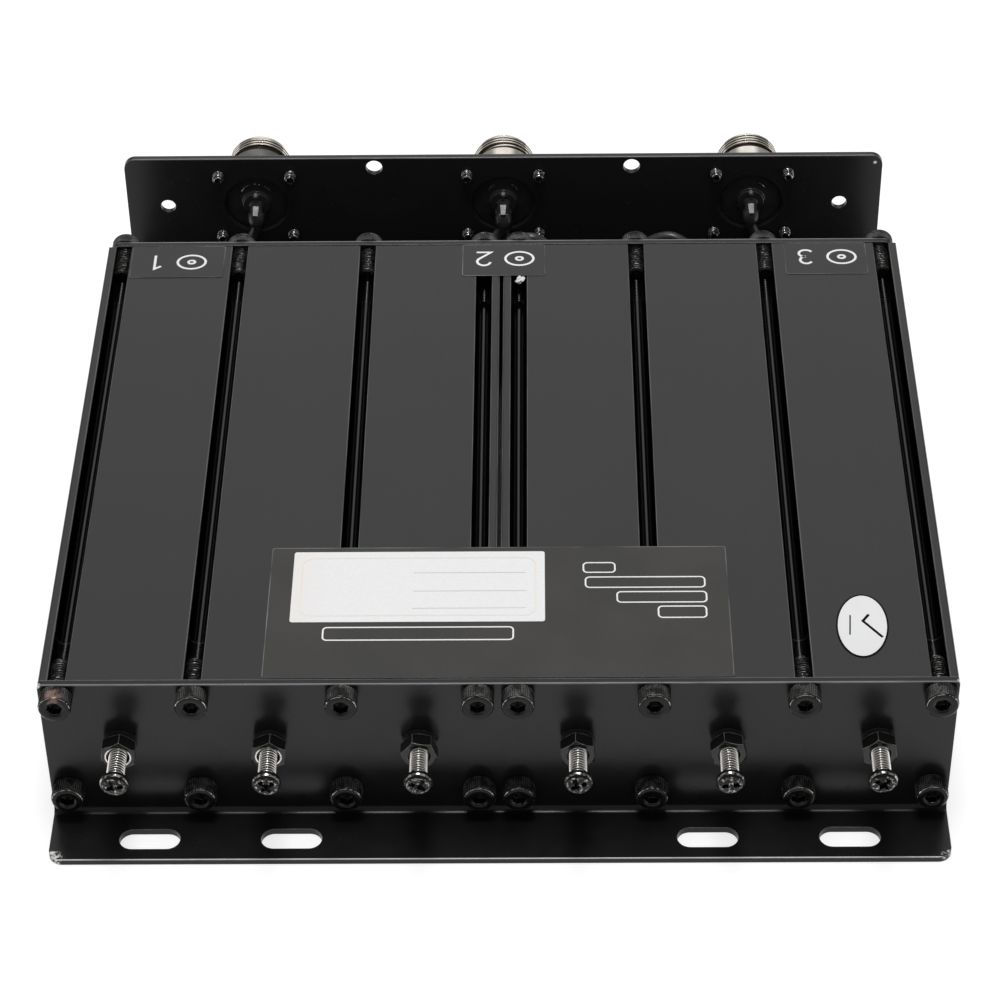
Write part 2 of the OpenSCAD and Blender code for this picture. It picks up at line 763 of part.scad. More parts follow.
module cable_to_port(i, side, route, port, back = 0) {
    color(cable_black) place() tube(concat(
        [in_boot(port, back), in_boot(port, back) - [0, 0, cable_grip + 0.3]], behind(route),
        [past_ferrule(i, side), in_ferrule(i, side)]), cable_r);
}

module cable_between(i, j, route) {
    color(cable_black) place() tube(concat(
        [in_ferrule(i, 1), past_ferrule(i, 1)], behind(route),
        [past_ferrule(j, -1), in_ferrule(j, -1)]), cable_r);
}

function flip(pts) = [for (i = [len(pts) - 1:-1:0]) pts[i]];

module cable_left_port() { cable_to_port(0, -1, route_left_port, 0); }
module cable_1_to_2() { cable_between(0, 1, route_1_to_2); }
module cable_2_to_3() { cable_between(1, 2, route_2_to_3); }
module cable_3_to_antenna() { cable_to_port(2, 1, flip(route_3_to_antenna), 1, -pair_step/2); }
module cable_antenna_to_4() { cable_to_port(3, -1, route_antenna_to_4, 1, pair_step/2); }
module cable_4_to_5() { cable_between(3, 4, route_4_to_5); }
module cable_5_to_6() { cable_between(4, 5, route_5_to_6); }
module cable_right_port() { cable_to_port(5, 1, route_right_port, 2); }

// Ports

module connector(i) {
    thread_start = port_end - port_thread_len;
    color(bright) place() translate([port_xs[i], 0, port_z]) difference() {
        union() {
            slab_y(panel_out, panel_out + port_flange_t) round_rect(port_flange, port_flange, 1.5);
            bar_y(panel_out, thread_start - port_groove_w, port_r);
            bar_y(panel_out, thread_start, port_r - port_groove_h);
            bar_y(thread_start, port_end - port_chamfer, port_r);
            cone_y(port_end - port_chamfer, port_end, port_r, port_r - port_chamfer);
            bar_y(spigot_end, panel_out + eps, spigot_r);
        }
        bar_y(insulator_end, port_end + 1, port_mouth_d/2);
        bar_y(spigot_end - 1, insulator_end + eps, insulator_r + seat_fit);
        for (sx = [-1, 1], sz = [-1, 1]) translate([sx*port_screw_pitch/2, 0, sz*port_screw_pitch/2])
            bar_y(panel_out - 1, panel_out + port_flange_t + 1, port_screw_r + pass_fit);
    }
}

module connector_left() { connector(0); }
module connector_antenna() { connector(1); }
module connector_right() { connector(2); }

module connector_insulators() {
    color(white_plastic) place() for (x = port_xs) translate([x, 0, port_z]) difference() {
        bar_y(spigot_end, insulator_end, insulator_r);
        bar_y(spigot_end - 1, insulator_end + 1, port_contact_d/2 + seat_fit);
    }
}

module contact(i) {
    tip = port_end - port_contact_recess;
    slit = 3;
    color(brass) place() translate([port_xs[i], 0, port_z]) difference() {
        bar_y(spigot_end, tip, port_contact_d/2);
        bar_y(tip - slit, tip + 1, port_contact_bore/2);
        for (turn = [0, 90]) rotate([0, turn, 0])
            translate([0, tip - slit/2 + 0.5, 0]) cube([port_contact_d + 1, slit + 1, 0.3], center = true);
    }
}

module contact_left() { contact(0); }
module contact_antenna() { contact(1); }
module contact_right() { contact(2); }

module connector_screws() {
    shank_end = panel_in - port_screw_stand;
    seat = panel_out + port_flange_t;
    color(steel_black) place() at_port_screws() difference() {
        union() {
            bar_y(shank_end, seat + eps, port_screw_r - thread_fit);
            cone_y(seat, seat + port_screw_head_h, port_screw_head_d/2, port_screw_head_d/2 - 0.5);
        }
        translate([0, seat + port_screw_head_h, 0]) mirror([0, 1, 0]) scale(0.75) cross_socket();
    }
}

// Boots

// The neck of a boot, with its bent part at depth y
module boot_neck(y) {
    bar_y(y + boot_bend_r - eps, panel_out - boot_collar_t/2, boot_neck_d/2);
    translate([0, y + boot_bend_r, -boot_bend_r]) rotate([90, 0, -90]) rotate_extrude(angle = 90)
        translate([boot_bend_r, 0]) circle(boot_neck_d/2);
    translate([0, y, -boot_bend_r - boot_tail])
        cylinder(h = boot_tail + eps, r1 = boot_tail_d/2, r2 = boot_neck_d/2);
}

// A boot over port i, with one cable for each entry of backs, at that distance behind the neck's middle
module boot(i, backs) {
    edge_r = 0.5;
    color(cable_black) place() translate([port_xs[i], 0, port_z]) difference() {
        union() {
            bar_y(panel_out - boot_skirt_t, panel_out, port_hole_d/2 - pass_fit);
            translate([0, panel_out, 0]) rotate([90, 0, 0]) rotate_extrude() {
                square([boot_collar_d/2, boot_collar_t - edge_r]);
                square([boot_collar_d/2 - edge_r, boot_collar_t]);
                translate([boot_collar_d/2 - edge_r, boot_collar_t - edge_r]) circle(edge_r);
            }
            boot_neck(boot_neck_y + backs[0]);
            for (back = backs) translate([0, boot_neck_y + back, -boot_bend_r - boot_tail])
                cylinder(h = boot_bend_r + boot_tail, r = boot_tail_d/2);
        }
        bar_y(spigot_end - end_fit, panel_out + 1, spigot_r + seat_fit);
        for (back = backs) translate([0, boot_neck_y + back, -boot_bend_r - boot_tail - 1])
            cylinder(h = cable_grip + 1 + end_fit, r = cable_r + seat_fit);
    }
}

module boot_left() { boot(0, [0]); }
module boot_antenna() { boot(1, [-pair_step/2, pair_step/2]); }
module boot_right() { boot(2, [0]); }

// Labels

module sticker(w, l, t) {
    linear_extrude(t) round_rect(w, l, 0.6);
}

module nameplate() {
    color(block_colour*0.8) place() translate([0, nameplate_y + nameplate_l/2, plate_h])
        sticker(nameplate_w, nameplate_l, nameplate_t);
}

module paper_label() {
    rear_edge = nameplate_y + nameplate_l - paper_back;
    color("white") place() translate([-paper_x, rear_edge - paper_l/2, plate_h + nameplate_t])
        sticker(paper_w, paper_l, sticker_t);
}

module oval_sticker() {
    middle_x = block_mid_x + wall_pitch*0.925;
    color("white") place() translate([middle_x, oval_y, plate_h]) rotate([0, 0, -4.5])
        linear_extrude(sticker_t) polygon([for (a = [0:7.5:359]) [oval_w/2*cos(a), oval_l/2*sin(a)]]);
}

module port_label(x, w) {
    rear_edge = rear_in - block_end_bevel;
    color(block_colour*0.8) place() translate([x, rear_edge - port_label_l/2, plate_h])
        sticker(w, port_label_l, sticker_t);
}

module port_label_left() { port_label(-block_mid_x - wall_pitch + 0.8, label_left_w); }
module port_label_middle() { port_label(0.5, label_middle_w); }
module port_label_right() { port_label(block_mid_x + wall_pitch - 1, label_right_w); }

cavity_block_left();
cavity_block_right();
front_plate();
rear_bracket();
front_cap_screws();
rear_cap_screws();
lock_nuts();
tuner_washers();
tuning_screw_1();
tuning_screw_2();
tuning_screw_3();
tuning_screw_4();
tuning_screw_5();
tuning_screw_6();
tuning_plunger_1();
tuning_plunger_2();
tuning_plunger_3();
tuning_plunger_4();
tuning_plunger_5();
tuning_plunger_6();
resonator_1();
resonator_2();
resonator_3();
resonator_4();
resonator_5();
resonator_6();
resonator_screws();
coupling_loop_1();
coupling_loop_2();
coupling_loop_3();
coupling_loop_4();
coupling_loop_5();
coupling_loop_6();
cable_ferrules();
cable_left_port();
cable_1_to_2();
cable_2_to_3();
cable_3_to_antenna();
cable_antenna_to_4();
cable_4_to_5();
cable_5_to_6();
cable_right_port();
connector_left();
connector_antenna();
connector_right();
connector_insulators();
contact_left();
contact_antenna();
contact_right();
connector_screws();
boot_left();
boot_antenna();
boot_right();
nameplate();
paper_label();
oval_sticker();
port_label_left();
port_label_middle();
port_label_right();
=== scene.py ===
# Looks of the flat six-cavity duplexer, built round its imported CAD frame.
# Lengths are in millimetres. Depth is counted from the front plate's face, and point() turns
# a place into metres in the frame that the CAD shares.
import random
from math import cos, pi, radians, sin, sqrt

import bmesh
import bpy
from mathutils import Matrix, Vector, noise

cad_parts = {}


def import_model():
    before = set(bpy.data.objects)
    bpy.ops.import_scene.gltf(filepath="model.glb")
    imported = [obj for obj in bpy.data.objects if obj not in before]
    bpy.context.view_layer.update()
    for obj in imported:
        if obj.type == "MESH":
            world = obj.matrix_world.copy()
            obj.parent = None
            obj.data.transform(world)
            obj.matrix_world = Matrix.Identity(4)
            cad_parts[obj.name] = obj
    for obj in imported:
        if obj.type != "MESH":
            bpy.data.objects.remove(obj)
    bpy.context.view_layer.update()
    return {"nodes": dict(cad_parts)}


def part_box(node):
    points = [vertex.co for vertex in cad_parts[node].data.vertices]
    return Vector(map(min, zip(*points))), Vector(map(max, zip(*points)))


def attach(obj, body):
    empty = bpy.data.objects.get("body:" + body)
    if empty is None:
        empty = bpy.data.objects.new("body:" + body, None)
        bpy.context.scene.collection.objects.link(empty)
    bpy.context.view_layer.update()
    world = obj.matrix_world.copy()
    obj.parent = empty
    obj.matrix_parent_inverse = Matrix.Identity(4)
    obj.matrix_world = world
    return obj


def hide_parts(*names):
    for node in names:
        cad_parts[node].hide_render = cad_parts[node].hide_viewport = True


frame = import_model()
random.seed(7)

MM = 0.001

# Sizes of the CAD source and pitches of its threads. The radii of the cap heads and of the boots' collar,
# neck and barrel are this script's own.
SHEET = 1.5
WALL_PITCH = 31.2
CHANNEL_EDGE = 3.8
CHANNEL_AXIS = 2.9
TAPPED_LEN = 16.5
CAP_LENGTH = 10.0
CAP_HEAD_R = 3.49
CAP_HEAD_H = 4.0
REAR_HEAD_H = 3.2
CAP_SOCKET = 3.0
METRIC_R = 1.96
METRIC_PITCH = 0.7
TUNER_REACH = 13.3
TUNER_HEAD_R = 3.1
TUNER_HEAD_H = 2.0
TUNER_LENGTH = 30.0
LOOP_SPAN = 7.2
FERRULE_LEN = 4.5
CABLE_R = 1.3
FLANGE_REACH = 14.4
PORT_THREAD_R = 7.94
PORT_THREAD_LEN = 5.8
PORT_THREAD_PITCH = 1.058
PORT_GROOVE_W = 0.8
PORT_GROOVE_H = 0.9
PORT_CHAMFER = 0.8
PORT_MOUTH_R = 4.1
PORT_MOUTH_LEN = 9.2
PORT_FLANGE = 25.4
PORT_FLANGE_T = 2.0
PORT_SCREW_PITCH = 18.26
PORT_SCREW_R = 1.46
PORT_SCREW_THREAD = 0.5
PORT_SCREW_STAND = 2.4
PORT_SCREW_HEAD_R = 2.6
PORT_SCREW_HEAD_H = 1.3
BOOT_SKIRT_R = 8.1
BOOT_SKIRT_T = 0.5
BOOT_COLLAR_R = 3.5
BOOT_COLLAR_T = 1.6
BOOT_NECK_R = 1.6
BOOT_BARREL_R = 2.15
BOOT_BEND_R = 2.8
BOOT_REACH = 3.4
BOOT_TAIL = 0.8
CABLE_GRIP = 1.6
PAIR_STEP = 2 * CABLE_R + 0.2


def size_of(node):
    """The low and high corner of a CAD node in millimetres, depth counted from the front plate's face."""
    low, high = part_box(node)
    return low / MM - SHIFT, high / MM - SHIFT


# The front plate's face and the other main planes, from the frame
SHIFT = Vector((0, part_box("front_plate")[1].y / MM - SHEET, 0))
PLATE_HIGH = size_of("front_plate")[1]
BLOCK_LOW, BLOCK_HIGH = size_of("cavity_block_right")
BRACKET_HIGH = size_of("rear_bracket")[1]
PLATE_H = PLATE_HIGH.z
PANEL_H = BRACKET_HIGH.z
HALF_W = PLATE_HIGH.x
REAR_IN = BLOCK_HIGH.y
REAR_OUT = REAR_IN + SHEET
PANEL_OUT = BRACKET_HIGH.y
PANEL_IN = PANEL_OUT - SHEET
AXIS_Z = (BLOCK_LOW.z + BLOCK_HIGH.z) / 2
BLOCK_MID_X = (BLOCK_LOW.x + BLOCK_HIGH.x) / 2
BLOCK_W = BLOCK_HIGH.x - BLOCK_LOW.x
CHANNEL_UP = (BLOCK_HIGH.z - BLOCK_LOW.z) / 2 - CHANNEL_AXIS
CHANNEL_XS = [-BLOCK_W / 2 + CHANNEL_EDGE, -WALL_PITCH / 2, WALL_PITCH / 2, BLOCK_W / 2 - CHANNEL_EDGE]
PORT_NAMES = ("left", "antenna", "right")
PORTS = [(a + b) / 2 for a, b in (size_of("connector_" + name) for name in PORT_NAMES)]
PORT_XS = [p.x for p in PORTS]
PORT_Z = PORTS[0].z
PORT_END = size_of("connector_left")[1].y
TUNER_XS = [sum(c.x for c in size_of(f"tuning_plunger_{i}")) / 2 for i in range(1, 7)]
LOOP_Z = sum(c.z for c in size_of("coupling_loop_1")) / 2


def point(p):
    return (Vector(p) + SHIFT) * MM


# Mesh helpers. They add to a bmesh in millimetres, and a Matrix says where the part lies:
# a part is drawn along its own +Z.

SQUARE = ((-1, -1), (1, -1), (1, 1), (-1, 1))
TOWARDS_FRONT = Matrix.Rotation(radians(90), 4, "X")
TOWARDS_REAR = Matrix.Rotation(radians(-90), 4, "X")


def at(x, y, z, turn=TOWARDS_REAR, roll=0.0):
    return Matrix.Translation((x, y, z)) @ turn @ Matrix.Rotation(radians(roll), 4, "Z")


def spin(bm, profile, m, n, mat=0, wave=None, outline=None):
    """Revolves (radius, height[, style]) points about +Z. Style "wave" scales by wave, "hex" by outline."""
    rows = []
    for r, d, *style in profile:
        if r < 1e-6:
            rows.append([bm.verts.new(m @ Vector((0, 0, d)))])
            continue
        row = []
        for k in range(n):
            a = 2 * pi * k / n
            f = wave[k % len(wave)] if style == ["wave"] else outline(a) if style == ["hex"] else 1
            row.append(bm.verts.new(m @ Vector((r * f * cos(a), r * f * sin(a), d))))
        rows.append(row)
    for low, high in zip(rows, rows[1:]):
        for k in range(n):
            after = (k + 1) % n
            quad = [low[k % len(low)], low[after % len(low)], high[after % len(high)], high[k % len(high)]]
            corners = list(dict.fromkeys(quad))
            if len(corners) > 2:
                bm.faces.new(corners).material_index = mat


def bridge(bm, one, two, mat=0):
    """Joins two rings that have the same number of points, and returns the faces in order."""
    faces = []
    for j in range(len(one)):
        after = (j + 1) % len(one)
        face = bm.faces.new((one[j], one[after], two[after], two[j]))
        face.material_index = mat
        faces.append(face)
    return faces


def close(bm, first, last, mat=0):
    """Fills the two end rings of a bridged form."""
    for ring in (first, last):
        bm.faces.new(ring).material_index = mat


def thread(bm, root, crest, pitch, low, high, m, mats, top_share, n=24, rounding=None):
    """A helical ridge between two heights, closed at both ends and faded in and out.

    The materials are for its crest and its flanks. Rounding is the run and drop of a slope beside the crest.
    """
    half = 0.44 * pitch
    flat = top_share * pitch / 2
    sink = 0.12
    first, last = low + half, high - half
    steps = max(2, int((last - first) / pitch * n))
    rows = []
    for k in range(steps + 1):
        a = 2 * pi * k / n
        d = first + (last - first) * k / steps
        rise = min(1.0, 0.15 + 2.5 * k / n, 0.15 + 2.5 * (steps - k) / n)
        top = root + (crest - root) * rise
        section = [(root - sink, d - half), (top, d - flat), (top, d + flat), (root - sink, d + half)]
        if rounding:
            run, drop = rounding
            lower = top - drop * rise
            below = d - flat - run
            above = d + flat + run
            section[1:3] = [(lower, below), (top, d - flat), (top, d + flat), (lower, above)]
        rows.append([bm.verts.new(m @ Vector((r * cos(a), r * sin(a), h))) for r, h in section])
    for one, two in zip(rows, rows[1:]):
        for face in bridge(bm, one, two, mats[1])[1:-2]:
            face.material_index = mats[0]
    close(bm, rows[0], rows[-1][::-1], mats[1])


def hexagon(a):
    """The radius at angle a of a hexagon whose flats lie at a radius of 1."""
    return 1 / cos(a % (pi / 3) - pi / 6)


def slab(bm, outline, low, high, m, bevel, mat=0):
    """A flat plate from a closed outline of (x, y), with its edges cut by bevel."""
    centre = Vector((sum(p[0] for p in outline), sum(p[1] for p in outline))) / len(outline)
    inner = [centre + (Vector(p) - centre) * (1 - bevel / (Vector(p) - centre).length) for p in outline]
    rows = []
    for shape, d in ((inner, low), (outline, low + bevel), (outline, high - bevel), (inner, high)):
        rows.append([bm.verts.new(m @ Vector((p[0], p[1], d))) for p in shape])
    for one, two in zip(rows, rows[1:]):
        bridge(bm, one, two, mat)
    close(bm, rows[0][::-1], rows[-1], mat)


CORNER_STEPS = 6


def round_rectangle(w, h, r):
    outline = []
    for turn, (sx, sy) in enumerate(((1, 1), (-1, 1), (-1, -1), (1, -1))):
        for k in range(CORNER_STEPS + 1):
            a = pi / 2 * (turn + k / CORNER_STEPS)
            outline.append((sx * (w / 2 - r) + r * cos(a), sy * (h / 2 - r) + r * sin(a)))
    return outline


def smooth_route(points, step=0.6):
    """A smooth curve through given points, cut into short steps."""
    pts = [Vector(p) for p in points]
    pts = [2 * pts[0] - pts[1]] + pts + [2 * pts[-1] - pts[-2]]
    route = []
    for a, b, c, d in zip(pts, pts[1:], pts[2:], pts[3:]):
        count = max(2, int((c - b).length / step))
        for k in range(count):
            t = k / count
            route.append(0.5 * (2 * b + (c - a) * t + (2 * a - 5 * b + 4 * c - d) * t * t
                                + (3 * b - a - 3 * c + d) * t ** 3))
    return route + [pts[-2]]


def tube(bm, route, radius, n=16, mat=0):
    """A closed tube along a route, without twist. Its radius may be a function of the share of the way."""
    side = Vector((1, 0, 0))
    rows = []
    for k, p in enumerate(route):
        along = (route[min(k + 1, len(route) - 1)] - route[max(k - 1, 0)]).normalized()
        side = (side - side.dot(along) * along).normalized()
        other = along.cross(side)
        r = radius(k / (len(route) - 1)) if callable(radius) else radius
        turns = (2 * pi * j / n for j in range(n))
        rows.append([bm.verts.new(p + r * (cos(a) * side + sin(a) * other)) for a in turns])
    for one, two in zip(rows, rows[1:]):
        bridge(bm, one, two, mat)
    close(bm, rows[0][::-1], rows[-1], mat)


def weld(bm):
    bmesh.ops.remove_doubles(bm, verts=bm.verts, dist=1e-5)


def new_object(name, data):
    o = bpy.data.objects.new(name, data)
    bpy.context.scene.collection.objects.link(o)
    return o


def piece(name, bm, materials, body, replaced=(), sharp=32):
    """Turns a bmesh in millimetres into a piece that rides on a body."""
    for v in bm.verts:
        v.co = point(v.co)
    bmesh.ops.recalc_face_normals(bm, faces=bm.faces)
    mesh = bpy.data.meshes.new(name)
    bm.to_mesh(mesh)
    bm.free()
    mesh.polygons.foreach_set("use_smooth", [True] * len(mesh.polygons))
    mesh.set_sharp_from_angle(angle=radians(sharp))
    o = new_object(name, mesh)
    for material in materials:
        mesh.materials.append(material)
    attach(o, body)
    if replaced:
        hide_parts(*replaced)
    return o


# Material helpers


class Nodes:
    """Adds nodes to a tree. Sockets may be given a value, a colour, a grey or another node's output."""

    def __init__(self, owner):
        owner.use_nodes = True
        self.tree = owner.node_tree

    def put(self, socket, value):
        if isinstance(value, bpy.types.NodeSocket):
            self.tree.links.new(value, socket)
        elif socket.type == "RGBA":
            colour = value if isinstance(value, tuple) else (value, value, value)
            socket.default_value = (*colour, 1)
        else:
            socket.default_value = value

    def node(self, kind, out=0, settings=None, **inputs):
        """One output of a new node. Its inputs go by name, with _ for a space, or by number as _0."""
        node = self.tree.nodes.new(kind)
        for key, value in (settings or {}).items():
            setattr(node, key, value)
        for key, value in inputs.items():
            index = key[1:]
            self.put(node.inputs[int(index) if index.isdigit() else key.replace("_", " ")], value)
        return node.outputs[out]

    def outputs(self, kind, **inputs):
        """All outputs of a new node, by name."""
        return self.node(kind, **inputs).node.outputs

    def axes(self, vector):
        """The X, Y and Z of a vector."""
        return self.outputs("ShaderNodeSeparateXYZ", Vector=vector)

    def ramp(self, value, low, high, to_low=0.0, to_high=1.0):
        return self.node("ShaderNodeMapRange", Value=value, From_Min=low, From_Max=high, To_Min=to_low,
                         To_Max=to_high)

    def math(self, operation, a, b=0.0):
        return self.node("ShaderNodeMath", settings={"operation": operation}, _0=a, _1=b)

    def times(self, first, *others):
        for other in others:
            first = self.math("MULTIPLY", first, other)
        return first

    def most(self, first, *others):
        for other in others:
            first = self.math("MAXIMUM", first, other)
        return first


class Shader(Nodes):
    """Builds one node material. Sockets of its shader are given by name, with _ for a space."""

    def __init__(self, name, **inputs):
        self.material = bpy.data.materials.new(name)
        super().__init__(self.material)
        self.shader = self.tree.nodes["Principled BSDF"]
        for socket, value in inputs.items():
            self.set(socket.replace("_", " "), value)

    def set(self, socket, value):
        self.put(self.shader.inputs[socket], value)

    def place(self):
        return self.node("ShaderNodeTexCoord", out=3)

    def facing(self):
        return self.node("ShaderNodeNewGeometry", out=1)

    def stretched(self, scale):
        return self.node("ShaderNodeMapping", Vector=self.place(), Scale=scale)

    def noise(self, scale, detail=3.0, rough=0.5, vector=None):
        return self.node("ShaderNodeTexNoise", Vector=vector or self.place(), Scale=scale, Detail=detail,
                         Roughness=rough)

    def patches(self, scale, detail, first, last, low=0.0, high=1.0, rough=0.5):
        """Patches that go from low to high where the noise goes from first to last."""
        return self.ramp(self.noise(scale, detail, rough), first, last, low, high)

    def mix(self, factor, a, b):
        return self.node("ShaderNodeMix", out=2, settings={"data_type": "RGBA"}, _0=factor, _6=a, _7=b)

    def near(self, centre, radius, soft):
        """1 within radius of a place, falling to 0 over soft. All in millimetres."""
        away = self.node("ShaderNodeVectorMath", out=1, settings={"operation": "DISTANCE"}, _0=self.place(),
                         _1=point(centre))
        return self.ramp(away, (radius + soft) * MM, radius * MM)

    def near_line(self, y, z, radius, soft):
        """The same for a line that runs across the object."""
        place = self.axes(self.place())
        on_line = point((0, y, z))
        dy = self.math("SUBTRACT", place["Y"], on_line.y)
        dz = self.math("SUBTRACT", place["Z"], on_line.z)
        away = self.math("SQRT", self.math("ADD", self.times(dy, dy), self.times(dz, dz)))
        return self.ramp(away, (radius + soft) * MM, radius * MM)

    def bump(self, height, distance, strength, normal=None):
        inputs = {"Strength": strength, "Distance": distance * MM, "Height": height}
        if normal:
            inputs["Normal"] = normal
        return self.node("ShaderNodeBump", **inputs)

    def soft_edge(self, radius):
        return self.node("ShaderNodeBevel", settings={"samples": 6}, Radius=radius * MM)

    def edge(self, soft, sharpest=0.8):
        """0 on a flat face and 1 on an edge, from the softened normal."""
        same = self.node("ShaderNodeVectorMath", out=1, settings={"operation": "DOT_PRODUCT"}, _0=soft,
                         _1=self.facing())
        return self.ramp(same, 0.99, sharpest)

    def gloss(self, scale, low, high, detail=3):
        self.set("Roughness", self.patches(scale, detail, 0.3, 0.7, low, high))

    def skin(self, scale, depth, normal=None, strength=0.4, detail=2):
        """A fine unevenness of the surface. Its depth is in millimetres."""
        self.set("Normal", self.bump(self.noise(scale, detail), depth, strength, normal))


def coated_sheet():
    """Gloss black coating of the folded sheets, with orange peel, dust and bare corners, the panel's face
    painted lighter as painted light, and painted highlights along the edges.
    """
    s = Shader("gloss_black_sheet", IOR=1.38)
    place = s.axes(s.place())
    at_panel = s.ramp(place["Y"], point((0, PANEL_IN - 0.4, 0)).y, point((0, PANEL_IN, 0)).y)
    dust = s.patches(2600, 2, 0.71, 0.76, rough=0.7)
    bare_corner = s.near((-HALF_W, 0.1, PLATE_H - 0.2), 0.6, 0.3)
    bare_end = s.near((HALF_W - 0.2, 0.5, PLATE_H - 0.1), 0.25, 0.3)
    chip = s.near((HALF_W - 1.9, PANEL_IN, PANEL_H - 2.2), 0.32, 0.25)
    bare = s.most(bare_corner, bare_end, chip)
    for side, reach in ((-1, 1.6), (1, 0.9)):
        knock = s.near((side * (HALF_W - 0.9), -FLANGE_REACH + 0.7, SHEET - 0.4), reach, 0.8)
        flakes = s.times(knock, s.patches(1100, 3, 0.48, 0.55, rough=0.7))
        bare = s.most(bare, flakes)
    coat = s.mix(s.patches(60, 4, 0.3, 0.7), (0.0085, 0.0085, 0.0088), (0.0115, 0.0115, 0.0118))
    # Painted light: the panel's face is coloured lighter than the rest of the coat.
    coat_with_lit_panel = s.mix(at_panel, coat, (0.019, 0.019, 0.0195))
    dusty_lit_coat = s.mix(s.times(dust, 0.15), coat_with_lit_panel, 0.1)
    soft = s.soft_edge(0.3)
    # Painted highlight along the sheets' edges, uneven in patches.
    edge_highlight = s.times(s.edge(soft), s.patches(150, 4, 0.3, 0.6, 0.45, 1.0))
    off_panel = s.math("SUBTRACT", 1.0, s.times(at_panel, s.ramp(place["Z"], 36 * MM, 35 * MM)))
    marks_and_highlight = s.mix(s.times(edge_highlight, off_panel), dusty_lit_coat, (0.3, 0.3, 0.305))
    uneven = s.patches(90, 3, 0.3, 0.5, 0.6, 1.0)
    # Painted highlight lines along the flange's front edge and the top edges of the plate, rear wall and
    # panel.
    lip_highlight = s.times(s.near_line(-FLANGE_REACH, SHEET, 0.1, 0.16), uneven)
    top_edge_highlights = s.most(s.near_line(0, PLATE_H, 0.1, 0.3), s.near_line(REAR_OUT, BLOCK_HIGH.z, 0.12, 0.2),
                       s.near_line(PANEL_IN, PANEL_H, 0.12, 0.2))
    highlight_lined = s.mix(s.times(top_edge_highlights, uneven), s.mix(lip_highlight, marks_and_highlight, 0.95), (0.28, 0.28, 0.285))
    s.set("Base Color", s.mix(bare, highlight_lined, (0.75, 0.74, 0.72)))
    s.gloss(240, 0.22, 0.28)
    s.set("Metallic", s.times(bare, 0.7))
    s.skin(900, 0.01, soft, 0.25)
    return s.material


def extruded_aluminium():
    """Satin dark coating of the cavity blocks, drawn along its length, and glossy in the screw channels,
    which are coloured darker as painted shade; its edges and the channels' lips carry painted highlights.
    """
    s = Shader("satin_dark_aluminium", IOR=1.475)
    grain = s.noise(1, 4, 0.6, s.stretched((900, 12, 900)))
    base = s.mix(s.patches(35, 3, 0.35, 0.65), (0.0055, 0.0055, 0.0057), (0.0075, 0.0075, 0.0077))
    grainy = s.mix(s.ramp(grain, 0.35, 0.65, 0.0, 0.25), base, (0.011, 0.011, 0.0113))
    place = s.axes(s.place())
    above_axis = s.math("ABSOLUTE", s.math("SUBTRACT", place["Z"], AXIS_Z * MM))
    half_height = BLOCK_HIGH.z - AXIS_Z
    below_face = s.ramp(above_axis, (half_height - 0.25) * MM, (half_height - 0.7) * MM)
    inside = s.ramp(s.math("ABSOLUTE", place["X"]), (BLOCK_HIGH.x - 0.5) * MM, (BLOCK_HIGH.x - 1) * MM)
    sunk = s.times(below_face, inside)
    soft = s.soft_edge(0.2)
    # Painted highlight along the blocks' edges, uneven in patches.
    block_edge_highlight = s.times(s.edge(soft), s.patches(90, 3, 0.3, 0.6, 0.6, 1.0))
    # Painted shade: the screw channels below the top face are coloured darker.
    channel_shaded = s.mix(sunk, grainy, (0.0015, 0.0015, 0.0016))
    normal = s.axes(s.facing())
    sideways = s.times(s.math("ABSOLUTE", normal["X"]), s.math("ABSOLUTE", normal["Z"]))
    outer = s.ramp(above_axis, (half_height - 0.3) * MM, (half_height - 0.22) * MM)
    # Painted highlight lines along the lips of the screw channels.
    lip_highlight = s.times(s.ramp(sideways, 0.42, 0.48), outer)
    uneven_lip_highlight = s.times(lip_highlight, s.patches(60, 3, 0.3, 0.6, 0.4, 1.0))
    highlight_lined = s.mix(uneven_lip_highlight, channel_shaded, (0.16, 0.16, 0.163))
    s.set("Base Color", s.mix(block_edge_highlight, highlight_lined, (0.12, 0.12, 0.122)))
    matt = s.ramp(grain, 0.3, 0.7, 0.27, 0.33)
    gloss = s.ramp(grain, 0.3, 0.7, 0.06, 0.1)
    s.set("Roughness", s.math("ADD", s.times(matt, s.math("SUBTRACT", 1.0, sunk)), s.times(gloss, sunk)))
    from_end = s.math("MINIMUM", s.math("SUBTRACT", place["Y"], point(BLOCK_LOW).y),
                      s.math("SUBTRACT", point(BLOCK_HIGH).y, place["Y"]))
    tapped = s.times(sunk, s.ramp(from_end, (TAPPED_LEN + 0.3) * MM, TAPPED_LEN * MM))
    ridges = s.math("SINE", s.times(place["Y"], 2 * pi / (METRIC_PITCH * MM)))
    in_block = s.math("ABSOLUTE", s.math("SUBTRACT", s.math("ABSOLUTE", place["X"]), BLOCK_MID_X * MM))
    aside = [s.math("ABSOLUTE", s.math("SUBTRACT", in_block, x * MM)) for x in CHANNEL_XS[2:]]
    off_axis = s.math("DIVIDE", s.math("MINIMUM", aside[0], aside[1]), MM)
    dished = s.times(off_axis, off_axis, 0.25, sunk)
    grained = s.bump(grain, 0.003, 0.4, soft)
    s.set("Normal", s.bump(s.times(ridges, tapped), 0.1, 0.8, s.bump(dished, 1.0, 1.0, grained)))
    return s.material


def film(name, low, high, roughness, edge=0.0, ior=1.48):
    """Printed film: satin and a little uneven, as a sticker on metal, and perhaps a painted highlight along
    its edge.
    """
    s = Shader(name, IOR=ior)
    soft = s.soft_edge(0.12 if edge else 0.04)
    even = s.mix(s.patches(70, 4, 0.35, 0.65), low, high)
    # Painted highlight along the film's edges, its strength set by edge.
    edge_highlight_mask = s.times(s.edge(soft, 0.9), s.patches(260, 3, 0.4, 0.6, 0.3 * edge, edge))
    s.set("Base Color", s.mix(edge_highlight_mask, even, (0.4, 0.4, 0.39)))
    s.gloss(300, roughness - 0.03, roughness + 0.03)
    s.skin(160, 0.01, soft)
    return s.material


